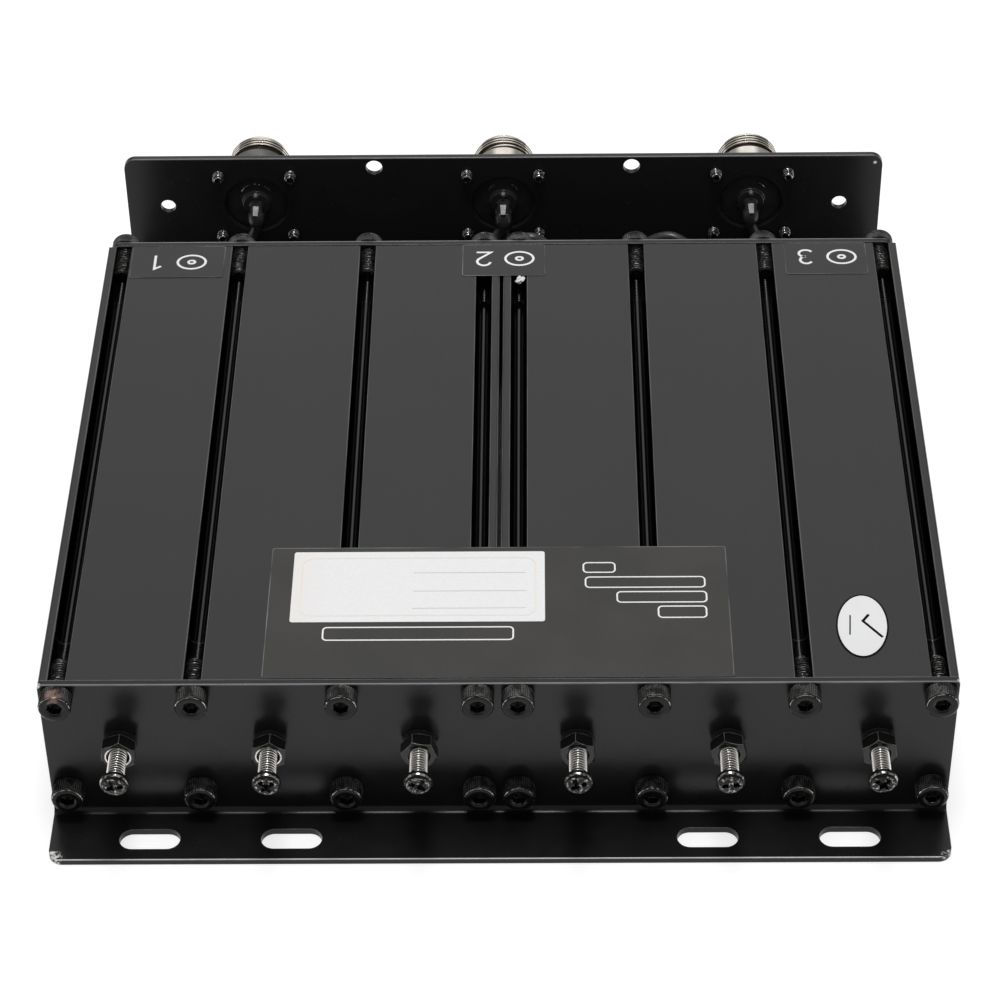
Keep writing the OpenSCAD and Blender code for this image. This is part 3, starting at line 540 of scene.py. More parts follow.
def paper():
    """White label paper, a little yellowed on its left side, with soft creases."""
    s = Shader("white_paper", IOR=1.45)
    left = size_of("paper_label")[0].x
    yellow = s.ramp(s.axes(s.place())["X"], (left + 8) * MM, left * MM, 0.0, 0.45)
    fibre = s.noise(1400, 4, 0.7)
    white = s.mix(s.ramp(fibre, 0.3, 0.7), (0.84, 0.84, 0.85), (0.90, 0.90, 0.91))
    s.set("Base Color", s.mix(yellow, white, (0.86, 0.81, 0.76)))
    s.set("Roughness", s.ramp(fibre, 0.3, 0.7, 0.5, 0.6))
    crease = s.noise(1, 2, 0.5, s.stretched((12, 260, 60)))
    s.set("Normal", s.bump(crease, 0.06, 0.5))
    return s.material


def metal(name, low, high, roughness, metallic=1.0, scale=700.0, edge=0.06, edge_highlight=0.0):
    """A small part's metal or plating: mottled colour, uneven gloss, soft edges and perhaps a painted
    highlight along them.
    """
    s = Shader(name, Metallic=metallic)
    soft = s.soft_edge(edge)
    colour = s.mix(s.patches(scale, 4, 0.35, 0.65), low, high)
    # Painted highlight along the edges.
    if edge_highlight:
        colour = s.mix(s.times(s.edge(soft), edge_highlight), colour, (0.42, 0.40, 0.38))
    s.set("Base Color", colour)
    s.gloss(scale * 1.7, roughness - 0.05, roughness + 0.05)
    s.skin(scale * 2.3, 0.006, soft)
    return s.material


def black_screw():
    """Black oxide cap screws, with a painted highlight along their edges, and a reddish metal patch on the
    first head that is a painted highlight.
    """
    s = Shader("black_oxide_steel", IOR=1.3)
    soft = s.soft_edge(0.16)
    black = s.mix(s.patches(700, 4, 0.35, 0.65), (0.003, 0.0028, 0.0026), (0.010, 0.0095, 0.009))
    # Painted highlight along the edges, uneven in patches.
    edge_highlight = s.times(s.edge(soft), s.patches(500, 3, 0.42, 0.6, 0.1, 1.0))
    # Painted highlight: a reddish metal patch on the first head.
    marks_and_highlight = s.times(s.near((-HALF_W + 3.6, -2.6, PLATE_H - 0.8), 0.9, 1.4), s.patches(800, 3, 0.4, 0.6))
    s.set("Base Color", s.mix(marks_and_highlight, s.mix(edge_highlight, black, (0.5, 0.49, 0.47)), (0.46, 0.3, 0.26)))
    s.set("Metallic", s.most(s.times(marks_and_highlight, 0.8), s.times(edge_highlight, 0.7)))
    s.gloss(1200, 0.18, 0.28)
    s.skin(1600, 0.006, soft)
    return s.material


def worn_glint_steel(name, first, last, bright):
    """Black steel with bright spots, partly wear and partly painted glints, which start between two levels of
    the noise.
    """
    s = Shader(name, Metallic=0.9)
    spots = s.patches(1500, 3, first, last, rough=0.7)
    s.set("Base Color", s.mix(spots, (0.02, 0.019, 0.018), (bright, bright * 0.98, bright * 0.95)))
    s.gloss(1800, 0.12, 0.25, detail=2)
    s.skin(2400, 0.01)
    return s.material


def plastic(name, low, high, roughness, depth=0.01):
    """Rubber, cable jacket or insulator: nearly even colour under a fine skin texture."""
    s = Shader(name, IOR=1.5)
    s.set("Base Color", s.mix(s.patches(500, 3, 0.35, 0.65), low, high))
    s.gloss(700, roughness - 0.05, roughness + 0.05)
    s.skin(1000, depth, detail=3)
    return s.material


def nut_metal():
    """Black lock nuts with a painted highlight along their edges; the washer faces of the first two have
    wear, bright round the thread.
    """
    s = Shader("black_nut", IOR=1.45)
    ring = 0.0
    for x in TUNER_XS[:2]:
        ring = s.most(ring, s.near((x, -4.4, AXIS_Z), 2.75, 0.15))
    front = s.ramp(s.axes(s.facing())["Y"], -0.8, -0.95)
    marks_and_highlight = s.times(ring, front, s.patches(900, 3, 0.3, 0.5))
    soft = s.soft_edge(0.2)
    black = s.mix(s.noise(600), 0.004, 0.009)
    # Painted highlight along the nuts' edges, uneven in patches.
    edge_highlight = s.times(s.edge(soft, 0.9), s.patches(500, 3, 0.38, 0.6, 0.3, 1.0))
    s.set("Base Color", s.mix(marks_and_highlight, s.mix(edge_highlight, black, (0.45, 0.44, 0.42)), (0.7, 0.68, 0.64)))
    s.set("Metallic", s.most(marks_and_highlight, s.times(edge_highlight, 0.4)))
    s.gloss(900, 0.15, 0.24)
    s.skin(1500, 0.008, soft)
    return s.material


SHEET_BLACK = coated_sheet()
BLOCK = extruded_aluminium()
NAMEPLATE = film("nameplate_film", (0.0155, 0.0145, 0.0125), (0.0245, 0.0225, 0.0205), 0.3, edge=0.1)
PORT_FILM = film("port_label_film", 0.006, 0.009, 0.27, edge=0.2)
PAPER = paper()
STICKER = film("white_sticker", (0.78, 0.79, 0.78), (0.83, 0.84, 0.83), 0.4)
PRINT_WHITE = film("white_print", 0.86, 0.92, 0.45)
PRINT_GREY = film("grey_print", (0.55, 0.55, 0.57), (0.62, 0.62, 0.64), 0.45)
# Painted highlight lines along the films' edges.
EDGE_HIGHLIGHT_LINE = film("painted_film_edge_highlight", 0.02, 0.2, 0.4)
PRINT_PEACH = film("faded_print", (0.86, 0.76, 0.68), (0.90, 0.83, 0.76), 0.45)
PRINT_BLACK = film("black_print", 0.004, 0.008, 0.6, ior=1.1)
BLACK_STEEL = black_screw()
# Bright spots on thread crests, recesses, rims and screw ends: partly wear, partly painted glints.
DARK_THREAD = worn_glint_steel("speckled_dark_thread", 0.52, 0.66, 0.5)
RIM_WEAR_AND_GLINT = worn_glint_steel("rim_wear_and_glint", 0.42, 0.58, 0.65)
# Painted highlight: the bright spotted steel of the bead on each boot.
BEAD_GLINT = worn_glint_steel("painted_bead_glint", 0.4, 0.54, 0.8)
NUT = nut_metal()
# The washers carry a painted highlight along their edges.
WASHER = metal("dark_washer", 0.012, (0.02, 0.02, 0.019), 0.22, metallic=0.2, edge=0.12, edge_highlight=0.5)
ZINC = metal("zinc_thread", (0.9, 0.87, 0.83), (0.98, 0.95, 0.91), 0.24, scale=1200.0)
# Painted shade: a much darker copy of the zinc, for the thread's flanks and core.
ZINC_ROOT_SHADE = metal("zinc_thread_root_shade", (0.008, 0.006, 0.005), (0.03, 0.024, 0.02), 0.4, metallic=0.6,
                  scale=1200.0)
NICKEL = metal("nickel_plate", (0.72, 0.66, 0.58), (0.84, 0.79, 0.72), 0.14, scale=300.0)
# Painted shade: a much darker copy of the nickel, for the ports' thread flanks and groove.
NICKEL_ROOT_SHADE = metal("nickel_thread_root_shade", (0.035, 0.028, 0.022), (0.08, 0.065, 0.05), 0.3, metallic=0.6,
                    scale=300.0)
# Painted shade: a darker copy of the nickel, for the left port's barrel.
NICKEL_SHADED_BARREL = metal("shaded_barrel_nickel", (0.10, 0.098, 0.095), (0.16, 0.155, 0.15), 0.35, metallic=0.4,
                    scale=300.0)
GOLD = metal("gold_plate", (0.80, 0.58, 0.26), (0.88, 0.66, 0.32), 0.2)
BRASS = metal("plain_brass", (0.62, 0.46, 0.2), (0.72, 0.55, 0.26), 0.3)
COPPER = metal("plain_copper", (0.62, 0.30, 0.18), (0.74, 0.40, 0.26), 0.3)
PTFE = plastic("white_ptfe", (0.82, 0.82, 0.80), (0.88, 0.88, 0.86), 0.45)
RUBBER = plastic("gloss_black_rubber", 0.024, 0.03, 0.2)
RUBBED_RUBBER = plastic("rubbed_black_rubber", 0.015, 0.03, 0.33)
DULL_RUBBER = plastic("dull_black_rubber", 0.015, 0.03, 0.45, depth=0.03)
JACKET = plastic("cable_jacket", 0.03, 0.046, 0.32)
GLUE = plastic("white_glue", (0.8, 0.8, 0.78), (0.9, 0.9, 0.88), 0.4)

NODE_MATERIALS = {
    "cavity_block": BLOCK, "front_plate": SHEET_BLACK, "rear_bracket": SHEET_BLACK, "lock_nuts": NUT,
    "tuner_washers": WASHER, "tuning_plunger": BRASS, "resonator_screws": BLACK_STEEL, "resonator": COPPER,
    "coupling_loop": COPPER, "cable_ferrules": BRASS, "connector_insulators": PTFE, "contact": GOLD,
    "nameplate": NAMEPLATE, "paper_label": PAPER, "oval_sticker": STICKER, "port_label": PORT_FILM,
}


def dress_nodes():
    """Gives each CAD node that stays its material, by the start of its name."""
    for name, node in frame["nodes"].items():
        for start, material in NODE_MATERIALS.items():
            if name.startswith(start):
                node.data.materials.clear()
                node.data.materials.append(material)
                node.data.polygons.foreach_set("material_index", [0] * len(node.data.polygons))
                break


# Fasteners

KNURLS = 42
KNURL_SHARE = (1.0, 0.93)
CAP_THREAD_DEPTH = 0.36
TUNER_THREAD_DEPTH = 0.42
PORT_SCREW_THREAD_DEPTH = 0.28
PORT_THREAD_DEPTH = 0.62


def cap_screw(bm, m, roll, height):
    """A socket cap screw with its head's underside at 0 and its head towards +Z.

    The materials are 0 for the steel, 1 for the thread's crest and 2 for the rim; 1 and 2 have bright spots
    that are partly wear and partly painted glints.
    """
    hex_half = CAP_SOCKET / 2
    root = METRIC_R - CAP_THREAD_DEPTH
    m = m @ Matrix.Rotation(radians(roll), 4, "Z")
    spin(bm, [
        (0, -CAP_LENGTH), (root - 0.3, -CAP_LENGTH), (root, -CAP_LENGTH + 0.35), (root, -0.7),
        (METRIC_R - 0.05, -0.3), (METRIC_R - 0.05, 0),
        (CAP_HEAD_R - 0.3, 0), (CAP_HEAD_R - 0.05, 0.25), (CAP_HEAD_R, 0.4, "wave"),
        (CAP_HEAD_R, height - 0.62, "wave"), (CAP_HEAD_R - 0.05, height - 0.5),
        (CAP_HEAD_R - 0.16, height - 0.22)
    ], m, n=2 * KNURLS, wave=KNURL_SHARE)
    spin(bm, [(CAP_HEAD_R - 0.16, height - 0.22), (CAP_HEAD_R - 0.28, height - 0.11)], m, n=2 * KNURLS, mat=2)
    spin(bm, [
        (CAP_HEAD_R - 0.28, height - 0.11), (CAP_HEAD_R - 0.5, height), (2.02, height), (1.9, height - 0.06),
        (hex_half, height - 0.24, "hex"), (hex_half, height / 2, "hex"), (0, height / 2 - 0.5)
    ], m, n=2 * KNURLS, outline=hexagon)
    thread(bm, root, METRIC_R, METRIC_PITCH, -CAP_LENGTH + 0.1, -0.3, m, mats=(1, 0), top_share=0.3)


def cap_screws(name, depth, turn, height):
    bm = bmesh.new()
    for side in (-1, 1):
        for x in CHANNEL_XS:
            for up in (-1, 1):
                m = at(side * BLOCK_MID_X + x, depth, AXIS_Z + up * CHANNEL_UP, turn)
                cap_screw(bm, m, random.uniform(0, 60), height)
    weld(bm)
    piece(name + "_detail", bm, [BLACK_STEEL, DARK_THREAD, RIM_WEAR_AND_GLINT], "housing", [name])


RECESS_W = 1.25
RECESS_LEN = 4.5
RECESS_DEPTH = 1.3


def cross_cutter(m):
    """Two crossed wedges, for a cross recess down from height 0."""
    bm = bmesh.new()
    for quarter in (0, 1):
        turn = m @ Matrix.Rotation(quarter * pi / 2, 4, "Z")
        corners = []
        for d, shrink in ((0.3, 1.08), (-RECESS_DEPTH, 0.42)):
            for sx, sy in SQUARE:
                x = sx * RECESS_LEN / 2 * shrink
                y = sy * RECESS_W / 2 * (0.5 + shrink / 2)
                corners.append(bm.verts.new(turn @ Vector((x, y, d))))
        for f in ((3, 2, 1, 0), (4, 5, 6, 7), (0, 1, 5, 4), (1, 2, 6, 5), (2, 3, 7, 6), (3, 0, 4, 7)):
            bm.faces.new([corners[k] for k in f])
    return bm


def cut(bm, cutter):
    """Takes the cutter away from bm and returns the result as a new bmesh."""
    objects = []
    for part in (bm, cutter):
        bmesh.ops.recalc_face_normals(part, faces=part.faces)
        mesh = bpy.data.meshes.new("scratch")
        part.to_mesh(mesh)
        part.free()
        objects.append(new_object("scratch", mesh))
    boolean = objects[0].modifiers.new("cut", "BOOLEAN")
    boolean.operation = "DIFFERENCE"
    boolean.solver = "EXACT"
    boolean.use_self = True
    boolean.object = objects[1]
    bpy.context.view_layer.update()
    result = bmesh.new()
    result.from_mesh(objects[0].evaluated_get(bpy.context.evaluated_depsgraph_get()).to_mesh())
    for o in objects:
        bpy.data.objects.remove(o)
    return result


HEAD_TURNS = (12, 40, 63, 25, 8, 52)
# How far before the front plate the bare thread begins
SILVER_FROM = 11.0


def tuning_screw(i):
    """Pan head with a cross recess, black down to the neck, then a bare thread.

    The materials are 0 for black steel, 1 and 2 for the thread, 3 for the head's rim, 4 for its recess; 2, on
    the flanks and the core, is a dark copy of 1 as painted shade.
    """
    head = bmesh.new()
    m = at(TUNER_XS[i], -TUNER_REACH + TUNER_HEAD_H, AXIS_Z, TOWARDS_FRONT, HEAD_TURNS[i])
    r, h = TUNER_HEAD_R, TUNER_HEAD_H
    root = METRIC_R - TUNER_THREAD_DEPTH
    spin(head, [
        (0, -1), (root, -1), (root, 0), (r - 0.25, 0), (r - 0.06, 0.1), (r, 0.35), (r - 0.03, 0.9),
        (r - 0.25, 1.35), (r - 0.65, 1.7), (r - 1.3, 1.92), (r - 2.2, h), (0, h)
    ], m, n=48)
    bm = cut(head, cross_cutter(m @ Matrix.Translation((0, 0, h))))
    back = m.inverted()
    for f in bm.faces:
        c = back @ f.calc_center_median()
        aside = sqrt(c.x * c.x + c.y * c.y)
        in_recess = 0.1 < h - c.z < RECESS_DEPTH + 0.1 and aside < RECESS_LEN / 2 + 0.05
        on_rim = 0.85 < c.z < 1.5 and aside > r - 0.4
        f.material_index = 4 if in_recess else 3 if on_rim else 0
    top = -TUNER_REACH + TUNER_HEAD_H
    neck = at(TUNER_XS[i], 0, AXIS_Z)
    end = top + TUNER_LENGTH
    spin(bm, [(0, top - 0.5), (root, top - 0.5), (root, -SILVER_FROM)], neck, n=24)
    spin(bm, [(root, -SILVER_FROM), (root, end - 0.5), (root - 0.4, end), (0, end)], neck, n=24, mat=2)
    weld(bm)
    thread(bm, root, METRIC_R, METRIC_PITCH, -SILVER_FROM, end, neck, mats=(1, 2), top_share=0.12,
           rounding=(0.08, 0.15))
    name = f"tuning_screw_{i + 1}"
    materials = [BLACK_STEEL, ZINC, ZINC_ROOT_SHADE, RIM_WEAR_AND_GLINT, DARK_THREAD]
    piece(name + "_detail", bm, materials, f"tuner_{i + 1}", [name], sharp=75)


def connector_screws():
    """The screws of the ports' flanges, with their ends standing out behind the panel."""
    bm = bmesh.new()
    root = PORT_SCREW_R - PORT_SCREW_THREAD_DEPTH
    seat = PANEL_OUT + PORT_FLANGE_T
    inner = PANEL_IN - PORT_SCREW_STAND
    half = PORT_SCREW_PITCH / 2
    for x in PORT_XS:
        for sx in (-1, 1):
            for sz in (-1, 1):
                m = at(x + sx * half, 0, PORT_Z + sz * half, TOWARDS_REAR, random.uniform(0, 90))
                spin(bm, [
                    (root, inner + 0.3), (root, PANEL_IN + 0.6),
                    (PORT_SCREW_R, PANEL_IN + 0.9), (PORT_SCREW_R, seat), (PORT_SCREW_HEAD_R, seat),
                    (PORT_SCREW_HEAD_R, seat + 0.4), (PORT_SCREW_HEAD_R - 0.3, seat + 0.95),
                    (PORT_SCREW_HEAD_R - 0.8, seat + PORT_SCREW_HEAD_H), (0.9, seat + PORT_SCREW_HEAD_H),
                    (0.75, seat + 0.5), (0, seat + 0.4)
                ], m, n=28)
                spin(bm, [(0, inner + 0.1), (root - 0.5, inner + 0.1), (root - 0.4, inner)], m, n=28)
                spin(bm, [(root - 0.4, inner), (root - 0.25, inner), (root, inner + 0.3)], m, n=28, mat=1)
                thread(bm, root, PORT_SCREW_R, PORT_SCREW_THREAD, inner + 0.15, PANEL_IN + 0.9, m,
                       mats=(1, 0), top_share=0.12, n=20, rounding=(0.07, 0.1))
    weld(bm)
    piece("connector_screws_detail", bm, [BLACK_STEEL, RIM_WEAR_AND_GLINT], "housing",
          ["connector_screws"], sharp=60)


# Ports, boots and cables

PORT_TURNS = (0, 230, 110)
PORT_BORE_R = 2.65
PORT_BARRELS = (NICKEL_SHADED_BARREL, NICKEL, NICKEL)


def connector(i):
    """Port body with its thread, groove, bore and square flange. Its thread flanks and groove are coloured
    dark as painted shade, and the left one's barrel is a darker copy of the nickel, as painted shade.
    """
    bm = bmesh.new()
    m = at(PORT_XS[i], 0, PORT_Z, TOWARDS_REAR, PORT_TURNS[i])
    thread_start = PORT_END - PORT_THREAD_LEN
    groove_start = thread_start - PORT_GROOVE_W
    root = PORT_THREAD_R - PORT_THREAD_DEPTH
    nose = PORT_END - PORT_CHAMFER
    mouth = PORT_END - PORT_MOUTH_LEN
    spin(bm, [
        (PORT_BORE_R, PANEL_OUT - 0.8), (3.2, PANEL_OUT - 0.8), (3.2, PANEL_OUT + 0.5),
        (PORT_THREAD_R, PANEL_OUT + 0.5), (PORT_THREAD_R, groove_start - 0.25),
        (PORT_THREAD_R - 0.25, groove_start)
    ], m, n=72, mat=2)
    spin(bm, [
        (PORT_THREAD_R - 0.25, groove_start), (PORT_THREAD_R - PORT_GROOVE_H, groove_start),
        (PORT_THREAD_R - PORT_GROOVE_H, thread_start), (root, thread_start + 0.15), (root, nose - 0.1)
    ], m, n=72, mat=1)
    spin(bm, [
        (root, nose - 0.1), (root + 0.1, nose), (root - 0.1, PORT_END - 0.15),
        (root - 0.25, PORT_END), (PORT_MOUTH_R + 0.35, PORT_END), (PORT_MOUTH_R, PORT_END - 0.35),
        (PORT_MOUTH_R, mouth), (PORT_BORE_R, mouth), (PORT_BORE_R, PANEL_OUT - 0.8)
    ], m, n=72)
    weld(bm)
    thread(bm, root, PORT_THREAD_R, PORT_THREAD_PITCH, thread_start, nose + 0.1, m, mats=(0, 1),
           top_share=0.5, n=72)
    square = round_rectangle(PORT_FLANGE, PORT_FLANGE, 1.5)
    slab(bm, square, PANEL_OUT, PANEL_OUT + PORT_FLANGE_T, at(PORT_XS[i], 0, PORT_Z), bevel=0.2)
    name = "connector_" + PORT_NAMES[i]
    materials = [NICKEL, NICKEL_ROOT_SHADE, PORT_BARRELS[i]]
    piece(name + "_detail", bm, materials, "housing", [name])


def boot(i, backs):
    """Moulded boot: skirt, collar, neck and a drooping barrel for each cable, blended by a remesh."""
    bm = bmesh.new()
    x = PORT_XS[i]
    base = at(x, PANEL_OUT, PORT_Z, TOWARDS_FRONT)
    skirt = [(0, 0), (BOOT_SKIRT_R, 0), (BOOT_SKIRT_R - 0.3, 0.25), (BOOT_COLLAR_R, BOOT_SKIRT_T),
             (0, BOOT_SKIRT_T)]
    spin(bm, skirt, base, n=64)
    collar = [(0, 0), (BOOT_COLLAR_R, 0), (BOOT_COLLAR_R, BOOT_COLLAR_T), (0, BOOT_COLLAR_T)]
    spin(bm, collar, base, n=64)
    for back in backs:
        y = PANEL_IN - BOOT_REACH + back
        tail = -BOOT_BEND_R - BOOT_TAIL
        neck = ((PANEL_OUT - 0.3, -0.3), (PANEL_IN - 0.8, -0.3), (PANEL_IN - 1.8, -0.5), (y + 0.8, -1.0))
        barrel = ((y + 1.0, -0.9), (y + 0.4, -1.8), (y, -2.8), (y, tail))
        if back > 0:
            barrel = ((y, -0.9), (y, tail))
        else:
            route = smooth_route([(x, depth, PORT_Z + rise) for depth, rise in neck], 0.4)
            tube(bm, route, BOOT_NECK_R, n=32)
        route = smooth_route([(x, depth, PORT_Z + rise) for depth, rise in barrel], 0.4)
        tube(bm, route, lambda t: BOOT_BARREL_R - 0.35 * max(0.0, 2 * t - 1), n=32)
    name = "boot_" + PORT_NAMES[i]
    o = piece(name + "_moulded", bm, [RUBBER], "housing", [name])
    remesh = o.modifiers.new("blend", "REMESH")
    remesh.mode = "VOXEL"
    remesh.voxel_size = 0.2 * MM
    remesh.use_smooth_shade = True
    soften = o.modifiers.new("soften", "SMOOTH")
    soften.factor = 0.5
    soften.iterations = 6
    boot_ridges(i, x)


# Depth and height of the rib and the pad from the panel's rear face and the port's middle
RIB_AT = ((-5.25, 0.75), (-6.65, 1.76), (-5.25, 0.75))
PAD_AT = (-1.85, 3.4)
RIB_TILT = 29.5
RIB_LEAN = (4.5, 0.0, -4.5)
BEAD_R = 4.05
BEAD_RISE = 1.9
# First and last angle of each stretch of the bead, each stretch a painted highlight
BEAD_ARCS = (((24, 62), (74, 80), (88, 96), (106, 152)), ((24, 58), (122, 154)), ((34, 48), (52, 60)))


def boot_ridges(i, x):
    """A flat rib along the bend of a boot, a pad behind it and a thin bead over its collar in bright spotted
    steel, which is a painted highlight.
    """
    bm = bmesh.new()
    turn = Matrix.Rotation(radians(RIB_LEAN[i]), 4, "Y") @ Matrix.Rotation(radians(RIB_TILT), 4, "X")
    m = Matrix.Translation((x, PANEL_OUT + RIB_AT[i][0], PORT_Z + RIB_AT[i][1])) @ turn
    slab(bm, [(-0.58, -1.4), (0.58, -1.4), (0.78, 1.4), (-0.78, 1.4)], -2.2, 0, m, mat=2, bevel=0.06)
    m = Matrix.Translation((x, PANEL_OUT + PAD_AT[0], PORT_Z + PAD_AT[1])) @ turn
    slab(bm, arc(0, 0, 0.85, 0.95, 0, 345, 23), -1.2, 0, m, mat=3, bevel=0.4)
    for first, last in BEAD_ARCS[i]:
        route = [Vector((x + u, PANEL_OUT - BOOT_SKIRT_T - 0.12, PORT_Z + BEAD_RISE + w))
                 for u, w in arc(0, 0, BEAD_R, BEAD_R, first, last, 10)]
        tube(bm, route, 0.17, n=8, mat=1)
    materials = [RUBBER, BEAD_GLINT, RUBBED_RUBBER, DULL_RUBBER]
    piece("boot_" + PORT_NAMES[i] + "_ridges", bm, materials, "housing")


def in_ferrule(i, side):
    return Vector((TUNER_XS[i] + side * LOOP_SPAN / 2, REAR_IN, LOOP_Z))


def past_ferrule(i, side):
    return in_ferrule(i, side) + Vector((0, SHEET + FERRULE_LEN + 1.5, 0))


def behind(route):
    return [Vector(p) + Vector((0, REAR_OUT, 0)) for p in route]


def in_boot(i, back):
    start = Vector((PORT_XS[i], PANEL_IN - BOOT_REACH + back, PORT_Z - BOOT_BEND_R - BOOT_TAIL + CABLE_GRIP))
    return [start, start - Vector((0, 0, CABLE_GRIP + 0.3))]


def mirrored(route):
    return [(-x, y, z) for x, y, z in route]


# Points listed as x, depth from the rear wall and height
ROUTE_RIGHT_PORT = [
    (64, 31.9, 18), (66.6, 31, 14), (71.5, 28.5, 11), (77.5, 25, 10.4), (82, 19.5, 11), (83.6, 12.5, 12.3)
]
ROUTE_1_TO_2 = [
    (-76, 12, 13), (-73, 17, 14), (-67.5, 20, 15), (-61, 20, 15), (-55.5, 17, 14), (-52.5, 12, 13)
]
ROUTE_2_TO_3 = [
    (-44.3, 12, 12.2), (-41.3, 17, 11.4), (-35.5, 20, 11), (-29.5, 20, 11), (-23.8, 17, 11.4),
    (-20.8, 12, 12.2)
]
ROUTE_3_TO_ANTENNA = [
    (-12.9, 13, 12.2), (-11.8, 20, 11), (-8.6, 25.6, 11), (-5, 28.8, 13.6), (-1.8, 30.3, 18)
]
ROUTE_ANTENNA_TO_4 = [
    (0.4, 32.6, 16), (1.6, 29.5, 12), (1.2, 24, 14), (0.2, 19, 20.5), (2, 16, 25.8),
    (6.6, 14.8, 28.7), (11, 14.2, 26.6), (13.4, 12.6, 21.5), (13.5, 9.8, 16)
]
ROUTE_4_TO_5 = [
    (21.3, 12, 12.8), (25.5, 17.5, 14.3), (31.5, 20, 18), (36.5, 20.5, 22.8),
    (42.3, 20, 24.9), (47.2, 18, 22.4), (48.3, 14, 17.4), (46.4, 10, 13.8)
]


def cable(name, points):
    bm = bmesh.new()
    tube(bm, smooth_route(points), CABLE_R)
    piece(name + "_jacket", bm, [JACKET], "housing", [name])


def port_cable(name, i, side, route, port, back=0.0):
    cable(name, in_boot(port, back) + behind(route) + [past_ferrule(i, side), in_ferrule(i, side)])


def link_cable(name, i, j, route):
    start = [in_ferrule(i, 1), past_ferrule(i, 1)]
    end = [past_ferrule(j, -1), in_ferrule(j, -1)]
    cable(name, start + behind(route) + end)


def cables():
    port_cable("cable_left_port", 0, -1, mirrored(ROUTE_RIGHT_PORT), 0)
    link_cable("cable_1_to_2", 0, 1, ROUTE_1_TO_2)
    link_cable("cable_2_to_3", 1, 2, ROUTE_2_TO_3)
    port_cable("cable_3_to_antenna", 2, 1, ROUTE_3_TO_ANTENNA[::-1], 1, -PAIR_STEP / 2)
    port_cable("cable_antenna_to_4", 3, -1, ROUTE_ANTENNA_TO_4, 1, PAIR_STEP / 2)
    link_cable("cable_4_to_5", 3, 4, ROUTE_4_TO_5)
    link_cable("cable_5_to_6", 4, 5, mirrored(ROUTE_1_TO_2)[::-1])
    port_cable("cable_right_port", 5, 1, ROUTE_RIGHT_PORT, 2)


# Prints on the films, read from the rear of the object, with painted highlight lines where the films end and
# painted shade at the oval sticker's rim

NUMERAL_LINE = 0.62
RING_LINE = 0.6
FIELD_LINE = 0.36
OVAL_TILT = -4.5
# Blank fields of the nameplate, each as its left, right, front and rear edge
NAMEPLATE_FIELDS = (
    (-37.1, 3.2, 13.4, 17.3), (34.1, 44.3, 20.0, 23.5), (25.4, 44.5, 24.8, 28.1), (18.7, 44.3, 29.5, 32.8),
    (18.3, 25.1, 34.3, 37.4)
)
# Each port label and the middle of its print
PORT_PRINTS = {
    "port_label_left": (-78.6, 146.9), "port_label_middle": (0.9, 147.6), "port_label_right": (78.9, 147.6)
}
GLUE_AT = (4.5, 140.4)


def ribbon(bm, path, width, z, closed=False):
    """A thin raised line along a flat path, its joints mitred."""
    rows = []
    count = len(path)
    for k in range(count):
        before = Vector(path[k - 1 if closed else max(k - 1, 0)])
        here = Vector(path[k])
        after = Vector(path[(k + 1) % count if closed else min(k + 1, count - 1)])
        one = (here - before).normalized() if here != before else (after - here).normalized()
        two = (after - here).normalized() if after != here else one
        along = (one + two).normalized()
        side = Vector((-along.y, along.x)) * (width / 2 / max(0.4, along.dot(one)))
        corners = (here + side, here - side)
        rows.append([bm.verts.new((p.x, p.y, z + rise)) for p, rise in
                     ((corners[0], 0), (corners[0], 0.03), (corners[1], 0.03), (corners[1], 0))])
    for k in range(count if closed else count - 1):
        bridge(bm, rows[k], rows[(k + 1) % count])
    if not closed:
        close(bm, rows[0], rows[-1][::-1])


def arc(x, y, rx, ry, first, last, steps):
    turns = (radians(first + (last - first) * k / steps) for k in range(steps + 1))
    return [(x + rx * cos(a), y + ry * sin(a)) for a in turns]


NUMERALS = (
    [[(-1.3, 1.6), (0.3, 2.7), (0.3, -2.7)]],
    [arc(0, 1.15, 1.6, 1.55, 170, -20, 16) + [(1.2, 0.1), (-1.7, -2.55), (1.8, -2.55)]],
    [arc(0, 1.25, 1.45, 1.4, 150, -90, 16), arc(0, -1.35, 1.65, 1.4, 90, -150, 16)],
)


def printed(name, bm, material):
    piece(name, bm, [material], "housing")


def port_print(i, node, where):
    """A plain numeral beside the round symbol of a socket."""
    z = size_of(node)[1].z
    x, y = where
    bm = bmesh.new()
    for path in NUMERALS[i]:
        ribbon(bm, [(x - 5.2 - u, y - w) for u, w in path], NUMERAL_LINE, z)
    for rx, ry in ((3.4, 2.7), (0.8, 0.65)):
        ring = [(x + 3.4 + u, y + w) for u, w in arc(0, 0, rx, ry, 0, 345, 23)]
        ribbon(bm, ring, RING_LINE, z, closed=True)
    printed(node + "_print", bm, PRINT_WHITE)


def nameplate_fields():
    """Blank fields: rounded frames."""
    bm = bmesh.new()
    z = size_of("nameplate")[1].z
    for x0, x1, y0, y1 in NAMEPLATE_FIELDS:
        outline = [((x0 + x1) / 2 + u, (y0 + y1) / 2 + v) for u, v in round_rectangle(x1 - x0, y1 - y0, 0.9)]
        ribbon(bm, outline, FIELD_LINE, z, closed=True)
    printed("nameplate_fields", bm, PRINT_WHITE)


